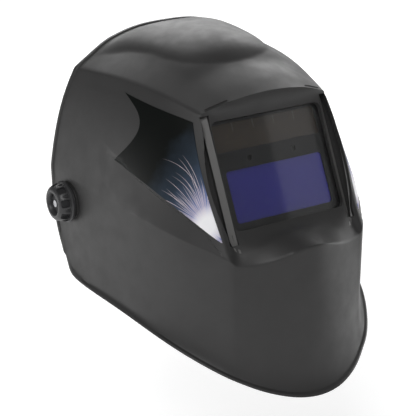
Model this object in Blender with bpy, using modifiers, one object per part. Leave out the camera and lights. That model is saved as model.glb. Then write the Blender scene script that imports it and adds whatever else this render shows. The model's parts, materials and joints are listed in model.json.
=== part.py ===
"""Auto-darkening welding helmet: shell with a deep lens hood, filter cartridge and ratchet headgear.

Metres, +Z up, the lens faces -Y and +X is the wearer's left. The origin is the middle of the tilt
pivots' axis. The shell is modelled at 26.5 degrees of lean, part way up its tilt.
"""

import math

import bmesh
import bpy
from mathutils import Matrix, Vector

# Overall sizes of the moulded shell
SHELL_HALF_WIDTH = 0.116
NOSE_REACH = 0.195        # from the widest station forward to the chin, in plan
WIDEST_Y = -0.019
REAR_Y = 0.026
CROWN_HEIGHT = 0.1375
CHIN_DROP = 0.120         # lowest point of the rim below the pivot axis
SIDE_DROP = 0.066         # rim below the pivot axis beside the neck
SHELL_WALL = 0.0026
RIM_FLARE = 0.0065
RIM_FLARE_HEIGHT = 0.011
BUBBLE_RISE = 0.005
REAR_BOW = 0.004          # the rear edge bows back between its corners and the crown

# Lens plane and hood
LENS_LEAN = math.radians(26.5)
LENS_FORWARD = 0.148
LENS_UP = 0.056
WINDOW_WIDTH = 0.105
WINDOW_HEIGHT = 0.088
WINDOW_CORNER = 0.0055
LIP_WIDTH = 0.0053
LIP_THICKNESS = 0.0026
GROOVE_WIDTH = 0.0058
GROOVE_DEPTH = 0.011
HOOD_BULGE = 0.007        # how far the hood's side rims bow outward at mid height
BROW_CLEARANCE = 0.0078   # window's top edge to the brow corners
BROW_PEAK_UP = 0.0073
BROW_PEAK_OUT = 0.015
CHEEK_CLEARANCE = 0.0172  # window's bottom edge to the hood's lower tips

DECAL_LENGTH = 0.0795     # brow corner back to the decal's rear tip
DECAL_SCOOP = 0.0225
DECAL_THICKNESS = 0.0003

# Filter cartridge
CARTRIDGE_WIDTH = WINDOW_WIDTH + 0.005
CARTRIDGE_HEIGHT = WINDOW_HEIGHT + 0.002
CARTRIDGE_DEPTH = 0.009
CARTRIDGE_CORNER = 0.003
POCKET_GAP = 0.0006
POCKET_WALL = 0.003
COVER_LENS_THICKNESS = 0.001
VIEW_WIDTH = WINDOW_WIDTH - 0.013
VIEW_HEIGHT = 0.042
VIEW_CENTRE = -0.0172     # viewing area's centre below the window's centre
SOLAR_WIDTH = WINDOW_WIDTH - 0.0065
SOLAR_HEIGHT = 0.0225
SOLAR_CENTRE = 0.0305
SENSOR_SPREAD = 0.021
SENSOR_HEIGHT = 0.0114
SENSOR_SIZE = 0.004
HOUSING_WALL = 0.0015
GLASS_THICKNESS = 0.003
BOARD_THICKNESS = 0.0012
BATTERY_RADIUS = 0.008
BATTERY_THICKNESS = 0.0024
BATTERY_X = CARTRIDGE_WIDTH / 2 - 0.015
DIAL_RADIUS = 0.0065
DIAL_SPACING = BATTERY_X - BATTERY_RADIUS - DIAL_RADIUS - 0.0015
DIAL_HEIGHT = 0.0035
FRAME_BAR = 0.0075
FRAME_THICKNESS = 0.0025

# Tilt pivots
PIVOT_Y = -0.004
PIVOT_Z = 0.0015
PIVOT_HALF_SPAN = SHELL_HALF_WIDTH + 0.0006  # outer face of the shell's pivot bosses
BOSS_RADIUS = 0.0165
BOSS_THICKNESS = 0.0036
BOLT_RADIUS = 0.003
BOLT_HEAD_RADIUS = 0.008
BOLT_HEAD_THICKNESS = 0.003
BUSHING_RADIUS = 0.006
WASHER_RADIUS = 0.0155
WASHER_THICKNESS = 0.001
TILT_PLATE_RADIUS = 0.018
TILT_PLATE_THICKNESS = 0.003
KNOB_RADIUS = 0.018
KNOB_HEIGHT = 0.0132
KNOB_LOBES = 7
KNOB_RECESS_RADIUS = 0.0065
KNOB_RECESS_DEPTH = 0.004
INSERT_RADIUS = 0.005
INSERT_LENGTH = 0.006

# Headgear
HEAD_HALF_WIDTH = 0.078
HEAD_HALF_LENGTH = 0.097
HEAD_CENTRE_Y = 0.024
BAND_TILT = math.radians(16.5)
BAND_RISE = 0.009         # middle of the band's plane above the pivot axis
BAND_HEIGHT = 0.030
BAND_SIDE_HEIGHT = 0.022
BAND_THICKNESS = 0.002
ARM_THICKNESS = 0.003
ARM_HEIGHT = 0.022
STRAP_WIDTH = 0.020
STRAP_THICKNESS = 0.0018
STRAP_CROWN_UP = 0.098
STRAP_PIN_RADIUS = 0.0028
STRAP_HOLE_PITCH = 0.012
SWEATBAND_THICKNESS = 0.005
SWEATBAND_HEIGHT = 0.034
SWEATBAND_ANGLE = math.radians(62)
REAR_PAD_THICKNESS = 0.006
REAR_PAD_HEIGHT = 0.036
REAR_PAD_WIDTH = 0.070
RATCHET_WIDTH = 0.076
RATCHET_HEIGHT = 0.040
RATCHET_WALL = 0.0018
RACK_HEIGHT = 0.016
RACK_TOOTH_PITCH = 0.004
PINION_RADIUS = 0.0062
PINION_TEETH = 8
RATCHET_KNOB_RADIUS = 0.0245
RATCHET_KNOB_DEPTH = 0.014
RATCHET_KNOB_LOBES = 9

GAP = 0.0003              # between pieces that touch
FINE = 32                 # segments round a turned piece
SHARP_ANGLE = math.radians(32)

SIDES = {"right": -1, "left": 1}

COLOURS = {
    "shell_black": ((0.045, 0.045, 0.047), 0.42, 0.0),
    "soft_black": ((0.022, 0.022, 0.023), 0.55, 0.0),
    "decal_blue": ((0.03, 0.05, 0.09), 0.3, 0.0),
    "clear_cover": ((0.6, 0.62, 0.64), 0.05, 0.0),
    "lcd_blue": ((0.03, 0.028, 0.12), 0.08, 0.0),
    "solar_brown": ((0.03, 0.024, 0.017), 0.2, 0.0),
    "sensor_dark": ((0.01, 0.01, 0.012), 0.15, 0.0),
    "board_green": ((0.02, 0.12, 0.05), 0.5, 0.0),
    "steel": ((0.6, 0.6, 0.6), 0.3, 1.0),
    "brass": ((0.7, 0.5, 0.2), 0.35, 1.0),
    "fibre_grey": ((0.2, 0.2, 0.2), 0.8, 0.0),
    "foam_grey": ((0.06, 0.06, 0.065), 0.95, 0.0),
    "terry_black": ((0.03, 0.03, 0.035), 0.98, 0.0),
}


# ---------------------------------------------------------------- scene and helpers

def clear_scene():
    for thing in list(bpy.data.objects):
        bpy.data.objects.remove(thing, do_unlink=True)
    model = bpy.data.collections.new("welding_helmet")
    cutters = bpy.data.collections.new("cutters")
    bpy.context.scene.collection.children.link(model)
    bpy.context.scene.collection.children.link(cutters)
    return model, cutters


MODEL, CUTTERS = clear_scene()


def material(name, kind):
    colour, roughness, metallic = COLOURS[kind]
    made = bpy.data.materials.new(name)
    made.use_nodes = True
    shader = made.node_tree.nodes["Principled BSDF"]
    shader.inputs["Base Color"].default_value = (*colour, 1.0)
    shader.inputs["Roughness"].default_value = roughness
    shader.inputs["Metallic"].default_value = metallic
    return made


def as_cutter(obj):
    for home in list(obj.users_collection):
        home.objects.unlink(obj)
    CUTTERS.objects.link(obj)
    obj.hide_render = True
    obj.display_type = "WIRE"
    return obj


def finish(obj, name, colour):
    """Names a finished piece, gives it its material and shades its rounded faces smooth."""
    if obj.modifiers:
        settle(obj)
    obj.name = name
    obj.data.name = name
    obj.data.materials.clear()
    obj.data.materials.append(material(name, colour))
    obj.data.shade_smooth()
    obj.data.set_sharp_from_angle(angle=SHARP_ANGLE)
    return obj


def object_from(mesh_builder, name, place=None):
    mesh = bpy.data.meshes.new(name)
    mesh_builder.to_mesh(mesh)
    mesh_builder.free()
    obj = bpy.data.objects.new(name, mesh)
    MODEL.objects.link(obj)
    if place is not None:
        obj.matrix_world = place
    return obj


def box(name, size, centre=(0, 0, 0), place=None, bevel=0.0):
    made = bmesh.new()
    bmesh.ops.create_cube(made, size=1.0)
    bmesh.ops.scale(made, vec=size, verts=made.verts)
    bmesh.ops.translate(made, vec=centre, verts=made.verts)
    if bevel:
        bmesh.ops.bevel(made, geom=made.edges, offset=bevel, segments=2, affect="EDGES", profile=0.5)
    return object_from(made, name, place)


def disc(name, radius, bottom, top, place=None, segments=FINE, top_radius=None):
    """A turned solid between two heights along its own Z."""
    made = bmesh.new()
    bmesh.ops.create_cone(
        made, cap_ends=True, segments=segments, radius1=radius,
        radius2=radius if top_radius is None else top_radius, depth=top - bottom,
    )
    bmesh.ops.translate(made, vec=(0, 0, (top + bottom) / 2), verts=made.verts)
    return object_from(made, name, place)


def plate(name, outline, bottom, top, place=None):
    """A flat outline raised between two heights along its own Z."""
    curve = bpy.data.curves.new(name, "CURVE")
    curve.dimensions = "2D"
    curve.fill_mode = "BOTH"
    curve.extrude = (top - bottom) / 2
    spline = curve.splines.new("POLY")
    spline.points.add(len(outline) - 1)
    for point, (x, y) in zip(spline.points, outline):
        point.co = (x, y, 0, 1)
    spline.use_cyclic_u = True
    drawn = bpy.data.objects.new(name, curve)
    MODEL.objects.link(drawn)
    bpy.context.view_layer.update()
    mesh = bpy.data.meshes.new_from_object(drawn)
    bpy.data.objects.remove(drawn)
    bpy.data.curves.remove(curve)
    made = bmesh.new()
    made.from_mesh(mesh)
    bpy.data.meshes.remove(mesh)
    bmesh.ops.remove_doubles(made, verts=made.verts, dist=1e-6)
    bmesh.ops.translate(made, vec=(0, 0, (top + bottom) / 2), verts=made.verts)
    bmesh.ops.recalc_face_normals(made, faces=made.faces)
    return object_from(made, name, place)


def arc(centre_x, centre_y, radius, start, end, steps):
    points = []
    for step in range(steps + 1):
        angle = start + (end - start) * step / steps
        points.append((centre_x + radius * math.cos(angle), centre_y + radius * math.sin(angle)))
    return points


def rounded_outline(width, height, corner, centre_x=0.0, centre_y=0.0, steps=4):
    across = width / 2 - corner
    up = height / 2 - corner
    points = []
    for turn, (sx, sy) in enumerate(((1, 1), (-1, 1), (-1, -1), (1, -1))):
        start = turn * math.pi / 2
        points += arc(centre_x + sx * across, centre_y + sy * up, corner, start, start + math.pi / 2, steps)
    return points


def lobed_outline(radius, depth, lobes, steps=6):
    """A hand knob's outline: shallow scoops between rounded lobes."""
    points = []
    count = lobes * steps
    for step in range(count):
        angle = 2 * math.pi * step / count
        swing = math.cos(lobes * angle)
        points.append((
            (radius - depth * (0.5 - 0.5 * swing) ** 2) * math.cos(angle),
            (radius - depth * (0.5 - 0.5 * swing) ** 2) * math.sin(angle),
        ))
    return points


def combine(target, other, operation):
    """Applies one exact Boolean, and keeps a used cutter in the cutters' collection."""
    as_cutter(other)
    step = target.modifiers.new(operation.lower(), "BOOLEAN")
    step.object = other
    step.operation = operation
    step.solver = "EXACT"
    return target


def settle(obj):
    """Makes the evaluated mesh the object's own, so that later Booleans work on plain meshes."""
    bpy.context.view_layer.update()
    graph = bpy.context.evaluated_depsgraph_get()
    mesh = bpy.data.meshes.new_from_object(obj.evaluated_get(graph))
    obj.modifiers.clear()
    old = obj.data
    obj.data = mesh
    bpy.data.meshes.remove(old)
    return obj


def lens_place():
    """Lens plane: local X to the wearer's left, Y up the lens, Z out through the window."""
    turn = Matrix.Rotation(math.pi / 2 - LENS_LEAN, 4, "X")
    return Matrix.Translation((0, -LENS_FORWARD, LENS_UP)) @ turn


def pivot_place(side):
    """Pivot axis: local Z points out through the shell's side at the pivot."""
    return Matrix.Translation((0, PIVOT_Y, PIVOT_Z)) @ Matrix.Rotation(side * math.pi / 2, 4, "Y")


def band_place():
    """Headband plane: its middle, with the front raised."""
    turn = Matrix.Rotation(-BAND_TILT, 4, "X")
    return Matrix.Translation((0, HEAD_CENTRE_Y, BAND_RISE)) @ turn


# ---------------------------------------------------------------- shell

def mix(a, b, share):
    return a + (b - a) * share


def on_lens(x, up, out):
    return lens_place() @ Vector((x, up, out))


def plan_width(y, half_width, reach):
    """Half width of the shell's rounded plan at a station."""
    if y >= WIDEST_Y:
        return half_width
    return half_width * math.sqrt(max(0.0, 1 - ((WIDEST_Y - y) / reach) ** 2))


def plan_front(x, half_width, reach):
    """How far forward the rounded plan reaches at a distance from the middle."""
    return WIDEST_Y - reach * math.sqrt(max(0.0, 1 - (x / half_width) ** 2))


def bottom_height(y):
    """Height of the shell's lower rim, which drops toward the chin."""
    start = WIDEST_Y - 0.29 * NOSE_REACH
    run = max(0.0, (start - y) / (start - WIDEST_Y + NOSE_REACH + RIM_FLARE))
    return -SIDE_DROP - (CHIN_DROP - SIDE_DROP) * run ** 1.5


# Stations from the rear edge to the hood, along the lower crease, and the crown's stations above them
LOWER_STATIONS = (1.0, 0.72, 0.45, 0.0, -0.34, -0.56, -0.70, -0.83)
CROWN_STATIONS = (0.026, 0.019, 0.010, -0.028, -0.060, -0.083, -0.094, -0.117)
CROWN_RISES = (1.0, 1.0, 1.01, 1.03, 1.028, 0.992, 0.955, 0.91)
FRONT_SHARES = (0.75, 0.38, 0.0)  # of the hood's half width, for the columns before the chin
HOOD_COLUMN = len(LOWER_STATIONS)


def hood_half_width():
    return WINDOW_WIDTH / 2 + LIP_WIDTH


def brow_corner():
    return on_lens(hood_half_width() + 0.0016, WINDOW_HEIGHT / 2 + BROW_CLEARANCE, 0.0023)


def cheek_tip():
    return on_lens(hood_half_width() - 0.0005, -WINDOW_HEIGHT / 2 - CHEEK_CLEARANCE, -0.0006)


def lower_crease():
    """The shoulder line from the rear edge round to the raised nose arch."""
    line = []
    for share in LOWER_STATIONS:
        y = REAR_Y * share if share > 0 else WIDEST_Y + share * NOSE_REACH
        drop = max(0.0, (WIDEST_Y - y) / NOSE_REACH)
        line.append(Vector((plan_width(y, SHELL_HALF_WIDTH, NOSE_REACH), y, 0.025 - 0.036 * drop ** 2)))
    tip = cheek_tip()
    line.append(Vector((tip.x + 0.004, tip.y - 0.0055, tip.z - 0.006)))
    nose = plan_front(0, SHELL_HALF_WIDTH, NOSE_REACH) + 0.008
    for share, back, up in zip(FRONT_SHARES, (0.019, 0.008, 0.0), (-0.0075, 0.001, 0.0105)):
        line.append(Vector((share * (hood_half_width() + 0.003), nose + back, up)))
    return line


def upper_crease():
    """The brow line from the rear edge forward to the brow corner."""
    corner = brow_corner()
    line = []
    for y in CROWN_STATIONS:
        share = (REAR_Y - y) / (REAR_Y - corner.y)
        arch = math.sin(math.pi * share)
        x = mix(SHELL_HALF_WIDTH * 0.776, corner.x, share) + 0.0015 * arch
        z = mix(CROWN_HEIGHT * 0.785, corner.z, share) + 0.0068 * arch
        line.append(Vector((x, y, z)))
    line.append(corner)
    return line


def rim_rows():
    """The lower rim, the top of its flare, the middle of the cheek and the edge under the crease."""
    crease = lower_crease()
    rim, flare = [], []
    corner_y = (0.004, -0.003, -0.012, -0.038)
    corner_up = (0.012, 0.005, 0.001, 0.0)
    for column in range(len(crease)):
        if column < 4:
            y = corner_y[column]
            width = SHELL_HALF_WIDTH
            spread = RIM_FLARE * column / 6
            z = -SIDE_DROP + corner_up[column]
        elif column < HOOD_COLUMN:
            y = WIDEST_Y + LOWER_STATIONS[column] * NOSE_REACH
            width = SHELL_HALF_WIDTH
            spread = RIM_FLARE * min(1.0, 0.5 + 0.25 * (column - 3))
            z = bottom_height(y)
        else:
            x = crease[column].x * (1.0 if column > HOOD_COLUMN else 0.97)
            spread = RIM_FLARE
            y = plan_front(x, SHELL_HALF_WIDTH, NOSE_REACH)
            rim.append(Vector((x, y - spread * 0.7, bottom_height(y - spread))))
            flare.append(Vector((x, y + 0.003, bottom_height(y) + RIM_FLARE_HEIGHT)))
            continue
        x = plan_width(y, width, NOSE_REACH)
        rim.append(Vector((x + spread, y - spread * 0.3 * (column > 3), z)))
        flare.append(Vector((x - 0.0005, y + 0.0005, z + RIM_FLARE_HEIGHT)))
    for column, (back, up) in enumerate(((0.019, 0.024), (0.012, 0.018), (0.006, 0.014))):
        flare[column].y = mix(rim[column].y, REAR_Y, 0.8 if column == 0 else 0.6)
        flare[column].z = rim[column].z + up
    cheek = [mix(high, low, 0.5) for high, low in zip(crease, flare)]
    cheek[0].y = mix(cheek[0].y, REAR_Y, 0.6)
    under = [mix(high, low, 0.07) for high, low in zip(crease, flare)]
    return [rim, flare, cheek, under, crease]


def side_rows():
    """Rows of the side wall above the lower crease, up to the brow line."""
    low, high = lower_crease(), upper_crease()
    rows = []
    for share, swell in ((0.10, 0.0012), (0.36, 0.0042), (0.70, 0.0050), (0.93, 0.0015)):
        row = []
        for column in range(HOOD_COLUMN):
            point = mix(low[column], high[column], share)
            point.x += swell
            row.append(point)
        rows.append(row)
    tip, corner = cheek_tip(), brow_corner()
    for row, share in zip(rows, (0.0, 0.33, 0.70, 0.95)):
        point = mix(tip, corner, share)
        bow = math.sin(math.pi * share)
        row.append(point + Vector((HOOD_BULGE * bow, -0.0018 * bow, 0.0007 * bow)))
    return rows + [high]


def crown_rows():
    """Rows over the crown, with its raised bubble, from the brow line to the middle."""
    edge = upper_crease()
    peak = on_lens(0, WINDOW_HEIGHT / 2 + BROW_CLEARANCE + BROW_PEAK_UP, 0.0023 + BROW_PEAK_OUT)
    raised = (0.0, 0.0, 0.85, 1.0, 1.0, 0.85, 0.0, 0.0)
    rows = []
    for share, lift in ((0.30, 0.0), (0.42, 0.9), (0.70, 1.0), (1.0, 1.0)):
        row = []
        for column in range(HOOD_COLUMN):
            top = Vector((0, CROWN_STATIONS[column], CROWN_HEIGHT * CROWN_RISES[column]))
            point = mix(edge[column], top, share)
            point.z = mix(edge[column].z, top.z, math.sin(math.pi / 2 * share) ** 0.9)
            point.z += BUBBLE_RISE * lift * raised[column]
            if column < 3:
                point.y += REAR_BOW * math.sin(math.pi * share)
                point.z += 0.5 * REAR_BOW * math.sin(math.pi * share)
            row.append(point)
        curve = 1 - (1 - share) ** 2
        brow = mix(edge[HOOD_COLUMN], peak, curve)
        brow.x = edge[HOOD_COLUMN].x * (1 - share)
        row.append(brow)
        rows.append(row)
    return rows


def floor_points(sides, brow, ledge):
    """The hood's floor: columns run from the ledge's wave up to the brow's arc."""
    columns = []
    for index, share in enumerate((0.70, 0.38, 0.0)):
        x = share * hood_half_width()
        edge = brow[index + 1]
        columns.append([
            ledge[index],
            on_lens(x, -WINDOW_HEIGHT / 2 - 0.003, -0.001),
            on_lens(x, 0.0, -0.001),
            on_lens(x, WINDOW_HEIGHT / 2 + BROW_CLEARANCE * 0.72, -0.001),
            edge,
        ])
    return columns


def shell_skin():
    """Outer surface of one half, as a coarse cage for the subdivision."""
    made = bmesh.new()
    made.edges.layers.float.new("crease_edge")

    def place(points):
        return [made.verts.new(point) for point in points]

    lower = [place(row) for row in rim_rows()]
    sides = [place(row) for row in side_rows()]
    crown = [place(row) for row in crown_rows()]
    back_rows = lower + sides + crown
    for low, high in zip(back_rows, back_rows[1:]):
        for column in range(HOOD_COLUMN):
            made.faces.new((low[column], low[column + 1], high[column + 1], high[column]))
    for low, high in zip(lower, lower[1:]):
        for column in range(HOOD_COLUMN, len(low) - 1):
            made.faces.new((low[column], low[column + 1], high[column + 1], high[column]))

    wave_up = (0.003, 0.0105, 0.014)
    wave_y = (-0.1814, -0.1822, -0.1800)
    wave = place([
        Vector((share * (hood_half_width() + 0.003), -LENS_FORWARD + y + 0.148, up))
        for share, y, up in zip(FRONT_SHARES, wave_y, wave_up)
    ])
    tip = sides[0][HOOD_COLUMN]
    inner = [tip] + wave
    outer = lower[-1][HOOD_COLUMN:]
    for column in range(3):
        made.faces.new((outer[column], outer[column + 1], inner[column + 1], inner[column]))

    rim_side = [row[HOOD_COLUMN] for row in sides]
    brow_line = [rim_side[-1]] + [row[HOOD_COLUMN] for row in (crown[1], crown[2], crown[3])]
    middle = floor_points(rim_side, [point.co for point in brow_line], [point.co for point in wave])
    placed = [
        [wave[index]] + place(column[1:-1]) + [brow_line[index + 1]] for index, column in enumerate(middle)
    ]
    grid = [rim_side] + placed
    for left, right in zip(grid, grid[1:]):
        for step in range(len(left) - 1):
            made.faces.new((left[step], right[step], right[step + 1], left[step + 1]))
    # the brow's first stretch has one more point on the crown's side than on the floor's
    first = crown[0][HOOD_COLUMN]
    made.faces.new((rim_side[-1], brow_line[1], first))

    crease = made.edges.layers.float["crease_edge"]

    def sharpen(points, weight):
        for a, b in zip(points, points[1:]):
            edge = made.edges.get((a, b))
            if edge:
                edge[crease] = weight

    sharpen(rim_side, 1.0)
    sharpen([rim_side[-1], first] + brow_line[1:], 1.0)
    sharpen([rim_side[-1], brow_line[1]], 1.0)
    sharpen(outer, 0.7)
    sharpen(inner, 0.6)
    sharpen(lower[-1][4:HOOD_COLUMN + 1], 0.5)
    sharpen(sides[-1][:HOOD_COLUMN + 1], 0.55)
    sharpen([outer[0], tip], 0.3)
    sharpen([row[0] for row in back_rows], 1.0)
    sharpen(lower[0], 1.0)
    bmesh.ops.recalc_face_normals(made, faces=made.faces)
    outward = sum(face.normal.x * face.calc_area() for face in made.faces)
    if outward < 0:
        bmesh.ops.reverse_faces(made, faces=made.faces)
    return made


def add_mirror(obj):
    step = obj.modifiers.new("mirror", "MIRROR")
    step.use_clip = True
    step.merge_threshold = 0.0001
    return step


def add_subdivision(obj, levels):
    step = obj.modifiers.new("subdivision", "SUBSURF")
    step.levels = levels
    step.render_levels = levels
    return step


def add_solidify(obj, thickness, offset=-1.0):
    step = obj.modifiers.new("solidify", "SOLIDIFY")
    step.thickness = thickness
    step.offset = offset
    step.use_even_offset = False
    return step


def hood_outline(inset, steps=8):
    """The hood's opening as seen square to the lens: bowed sides, arched brow and ledge."""
    half = hood_half_width() - inset
    top = WINDOW_HEIGHT / 2 + BROW_CLEARANCE - inset
    bottom = -WINDOW_HEIGHT / 2 - CHEEK_CLEARANCE + inset + 0.004
    side = []
    for step in range(steps + 1):
        share = step / steps
        side.append((half + HOOD_BULGE * math.sin(math.pi * share), mix(bottom, top, share)))
    return side + [(-x, y) for x, y in reversed(side)]


def groove_outline(sign):
    """The crescent between the window's lip and the hood's side rim."""
    inner = hood_half_width()
    top = WINDOW_HEIGHT / 2 + BROW_CLEARANCE - 0.004
    bottom = -WINDOW_HEIGHT / 2 - CHEEK_CLEARANCE + 0.006
    line = []
    for step in range(13):
        share = step / 12
        bow = GROOVE_WIDTH * math.sin(math.pi * share)
        line.append((sign * (inner + GAP + bow), mix(bottom, top, share)))
    return line + [(sign * inner, top), (sign * inner, bottom)]


# Heights along the lens axis, each measured out from the window's plane
COVER_FRONT = -LIP_THICKNESS - GAP
CARTRIDGE_FRONT = COVER_FRONT - COVER_LENS_THICKNESS - GAP
CARTRIDGE_BACK = CARTRIDGE_FRONT - CARTRIDGE_DEPTH
HOUSING_SPLIT = CARTRIDGE_FRONT - 0.48 * CARTRIDGE_DEPTH
BLOCK_BACK = min(CARTRIDGE_BACK, -GROOVE_DEPTH - 0.002)


def helmet_shell():
    shell = object_from(shell_skin(), "helmet_shell")
    add_mirror(shell)
    add_subdivision(shell, 1)
    add_solidify(shell, SHELL_WALL)
    settle(shell)
    lens = lens_place()
    lip_bottom = -WINDOW_HEIGHT / 2 - 0.0015
    lip_top = WINDOW_HEIGHT / 2 + 0.0056
    lip = rounded_outline(
        2 * hood_half_width(), lip_top - lip_bottom, 0.001, centre_y=(lip_top + lip_bottom) / 2,
    )
    combine(shell, plate("hood_block", hood_outline(0.0012), -0.0065, -0.0015, lens), "UNION")
    combine(shell, plate("hood_back", hood_outline(-0.0025), BLOCK_BACK, -0.0060, lens), "UNION")
    combine(shell, plate("lip_face", lip, -0.004, 0.0, lens), "UNION")
    window = rounded_outline(WINDOW_WIDTH, WINDOW_HEIGHT, WINDOW_CORNER)
    combine(shell, plate("window_cut", window, -0.030, 0.030, lens), "DIFFERENCE")
    pocket = rounded_outline(
        CARTRIDGE_WIDTH + 2 * POCKET_GAP, CARTRIDGE_HEIGHT + 2 * POCKET_GAP, CARTRIDGE_CORNER + POCKET_GAP,
    )
    combine(shell, plate("pocket_cut", pocket, -0.030, -LIP_THICKNESS, lens), "DIFFERENCE")
    for side in SIDES.values():
        combine(shell, plate("groove_cut", groove_outline(side), -GROOVE_DEPTH, 0.02, lens), "DIFFERENCE")
        pivot = pivot_place(side)
        low = PIVOT_HALF_SPAN - BOSS_THICKNESS
        combine(shell, disc("boss", BOSS_RADIUS, low - 0.001, PIVOT_HALF_SPAN, pivot), "UNION")
        combine(shell, disc("boss_seat", TILT_PLATE_RADIUS + 0.001, low - 0.02, low, pivot), "DIFFERENCE")
        hole = BUSHING_RADIUS + GAP
        combine(shell, disc("pivot_hole", hole, low - 0.02, PIVOT_HALF_SPAN + 0.02, pivot), "DIFFERENCE")
    settle(shell)
    return finish(shell, "helmet_shell", "shell_black")


def decal_outline():
    """Side view of the pointed decal behind the hood: (forward, up) in the side's plane."""
    corner, tip = brow_corner(), cheek_tip()
    front_top = (corner.y + 0.0045, corner.z - 0.0055)
    front_low = (tip.y + 0.0045, tip.z + 0.011)
    rear_tip = (corner.y + DECAL_LENGTH, corner.z + 0.002)
    rear_low = (corner.y + 0.82 * DECAL_LENGTH, 0.52 * corner.z)
    low_middle = (mix(rear_low[0], front_low[0], 0.52), mix(rear_low[1], front_low[1], 0.36))
    scoop = []
    for step in range(1, 6):
        share = step / 6
        bow = math.sin(math.pi * share)
        scoop.append((
            mix(rear_low[0], rear_tip[0], share) - DECAL_SCOOP * bow,
            mix(rear_low[1], rear_tip[1], share) + 0.25 * DECAL_SCOOP * bow,
        ))
    return [rear_tip, front_top, front_low, low_middle, rear_low] + scoop


def side_decals():
    """Thin printed stickers that follow the shell's sides."""
    skin = object_from(shell_skin(), "decal_skin")
    add_mirror(skin)
    add_subdivision(skin, 1)
    settle(skin)
    lifted = bmesh.new()
    lifted.from_mesh(skin.data)
    lifted.normal_update()
    for vertex in lifted.verts:
        vertex.co += vertex.normal * GAP
    lifted.to_mesh(skin.data)
    lifted.free()
    add_solidify(skin, DECAL_THICKNESS, offset=1.0)
    settle(skin)
    for name, side in SIDES.items():
        turn = Matrix.Rotation(math.pi / 2, 4, "Y") @ Matrix.Rotation(math.pi / 2, 4, "Z")
        outline = decal_outline()
        decal = plate("decal_" + name, outline, *sorted((side * 0.03, side * 0.16)), turn)
        combine(decal, skin, "INTERSECT")
        settle(decal)
        finish(decal, "decal_" + name, "decal_blue")


# ---------------------------------------------------------------- filter cartridge

def cover_lens():
    outline = rounded_outline(CARTRIDGE_WIDTH, CARTRIDGE_HEIGHT, CARTRIDGE_CORNER)
    lens = plate("cover_lens", outline, COVER_FRONT - COVER_LENS_THICKNESS, COVER_FRONT, lens_place())
    return finish(lens, "cover_lens", "clear_cover")


def filter_housing_front():
    place = lens_place()
    outer = rounded_outline(CARTRIDGE_WIDTH, CARTRIDGE_HEIGHT, CARTRIDGE_CORNER)
    inner = rounded_outline(
        CARTRIDGE_WIDTH - 2 * HOUSING_WALL, CARTRIDGE_HEIGHT - 2 * HOUSING_WALL, CARTRIDGE_CORNER / 2,
    )
    half = plate("filter_housing_front", outer, HOUSING_SPLIT + GAP / 2, CARTRIDGE_FRONT, place)
    behind = CARTRIDGE_FRONT - HOUSING_WALL * 0.8
    combine(half, plate("front_cavity", inner, HOUSING_SPLIT - 0.01, behind, place), "DIFFERENCE")
    view = rounded_outline(VIEW_WIDTH, VIEW_HEIGHT, 0.0025, centre_y=VIEW_CENTRE)
    combine(half, plate("view_cut", view, -0.02, 0.0, place), "DIFFERENCE")
    solar = rounded_outline(SOLAR_WIDTH, SOLAR_HEIGHT, 0.002, centre_y=SOLAR_CENTRE)
    combine(half, plate("solar_cut", solar, -0.02, 0.0, place), "DIFFERENCE")
    for side in SIDES.values():
        eye = rounded_outline(SENSOR_SIZE, SENSOR_SIZE, 0.0008, side * SENSOR_SPREAD, SENSOR_HEIGHT)
        combine(half, plate("sensor_cut", eye, -0.02, 0.0, place), "DIFFERENCE")
    settle(half)
    return finish(half, "filter_housing_front", "soft_black")


def filter_housing_back():
    place = lens_place()
    outer = rounded_outline(CARTRIDGE_WIDTH, CARTRIDGE_HEIGHT, CARTRIDGE_CORNER)
    inner = rounded_outline(
        CARTRIDGE_WIDTH - 2 * HOUSING_WALL, CARTRIDGE_HEIGHT - 2 * HOUSING_WALL, CARTRIDGE_CORNER / 2,
    )
    half = plate("filter_housing_back", outer, CARTRIDGE_BACK, HOUSING_SPLIT - GAP / 2, place)
    floor = CARTRIDGE_BACK + HOUSING_WALL * 0.8
    combine(half, plate("back_cavity", inner, floor, HOUSING_SPLIT + 0.01, place), "DIFFERENCE")
    view = rounded_outline(VIEW_WIDTH, VIEW_HEIGHT, 0.0025, centre_y=VIEW_CENTRE)
    combine(half, plate("back_view_cut", view, -0.03, 0.0, place), "DIFFERENCE")
    for x in DIAL_STATIONS.values():
        hole = disc("dial_hole", DIAL_SHAFT + GAP, -0.03, 0.0, place @ Matrix.Translation((x, DIAL_UP, 0)))
        combine(half, hole, "DIFFERENCE")
    settle(half)
    return finish(half, "filter_housing_back", "soft_black")


def filter_glass():
    behind = CARTRIDGE_FRONT - HOUSING_WALL * 0.8 - GAP
    outline = rounded_outline(VIEW_WIDTH + 0.004, VIEW_HEIGHT + 0.004, 0.001, centre_y=VIEW_CENTRE)
    glass = plate("lcd_filter", outline, behind - GLASS_THICKNESS, behind, lens_place())
    finish(glass, "lcd_filter", "lcd_blue")
    outline = rounded_outline(SOLAR_WIDTH + 0.0018, SOLAR_HEIGHT + 0.0018, 0.001, centre_y=SOLAR_CENTRE)
    cell = plate("solar_cell", outline, behind - 0.0012, behind, lens_place())
    finish(cell, "solar_cell", "solar_brown")
    for name, side in SIDES.items():
        outline = rounded_outline(
            SENSOR_SIZE + 0.0012, SENSOR_SIZE + 0.0006, 0.0005, side * SENSOR_SPREAD, SENSOR_HEIGHT,
        )
        eye = plate("arc_sensor_" + name, outline, behind - 0.0014, behind, lens_place())
        finish(eye, "arc_sensor_" + name, "sensor_dark")


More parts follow.
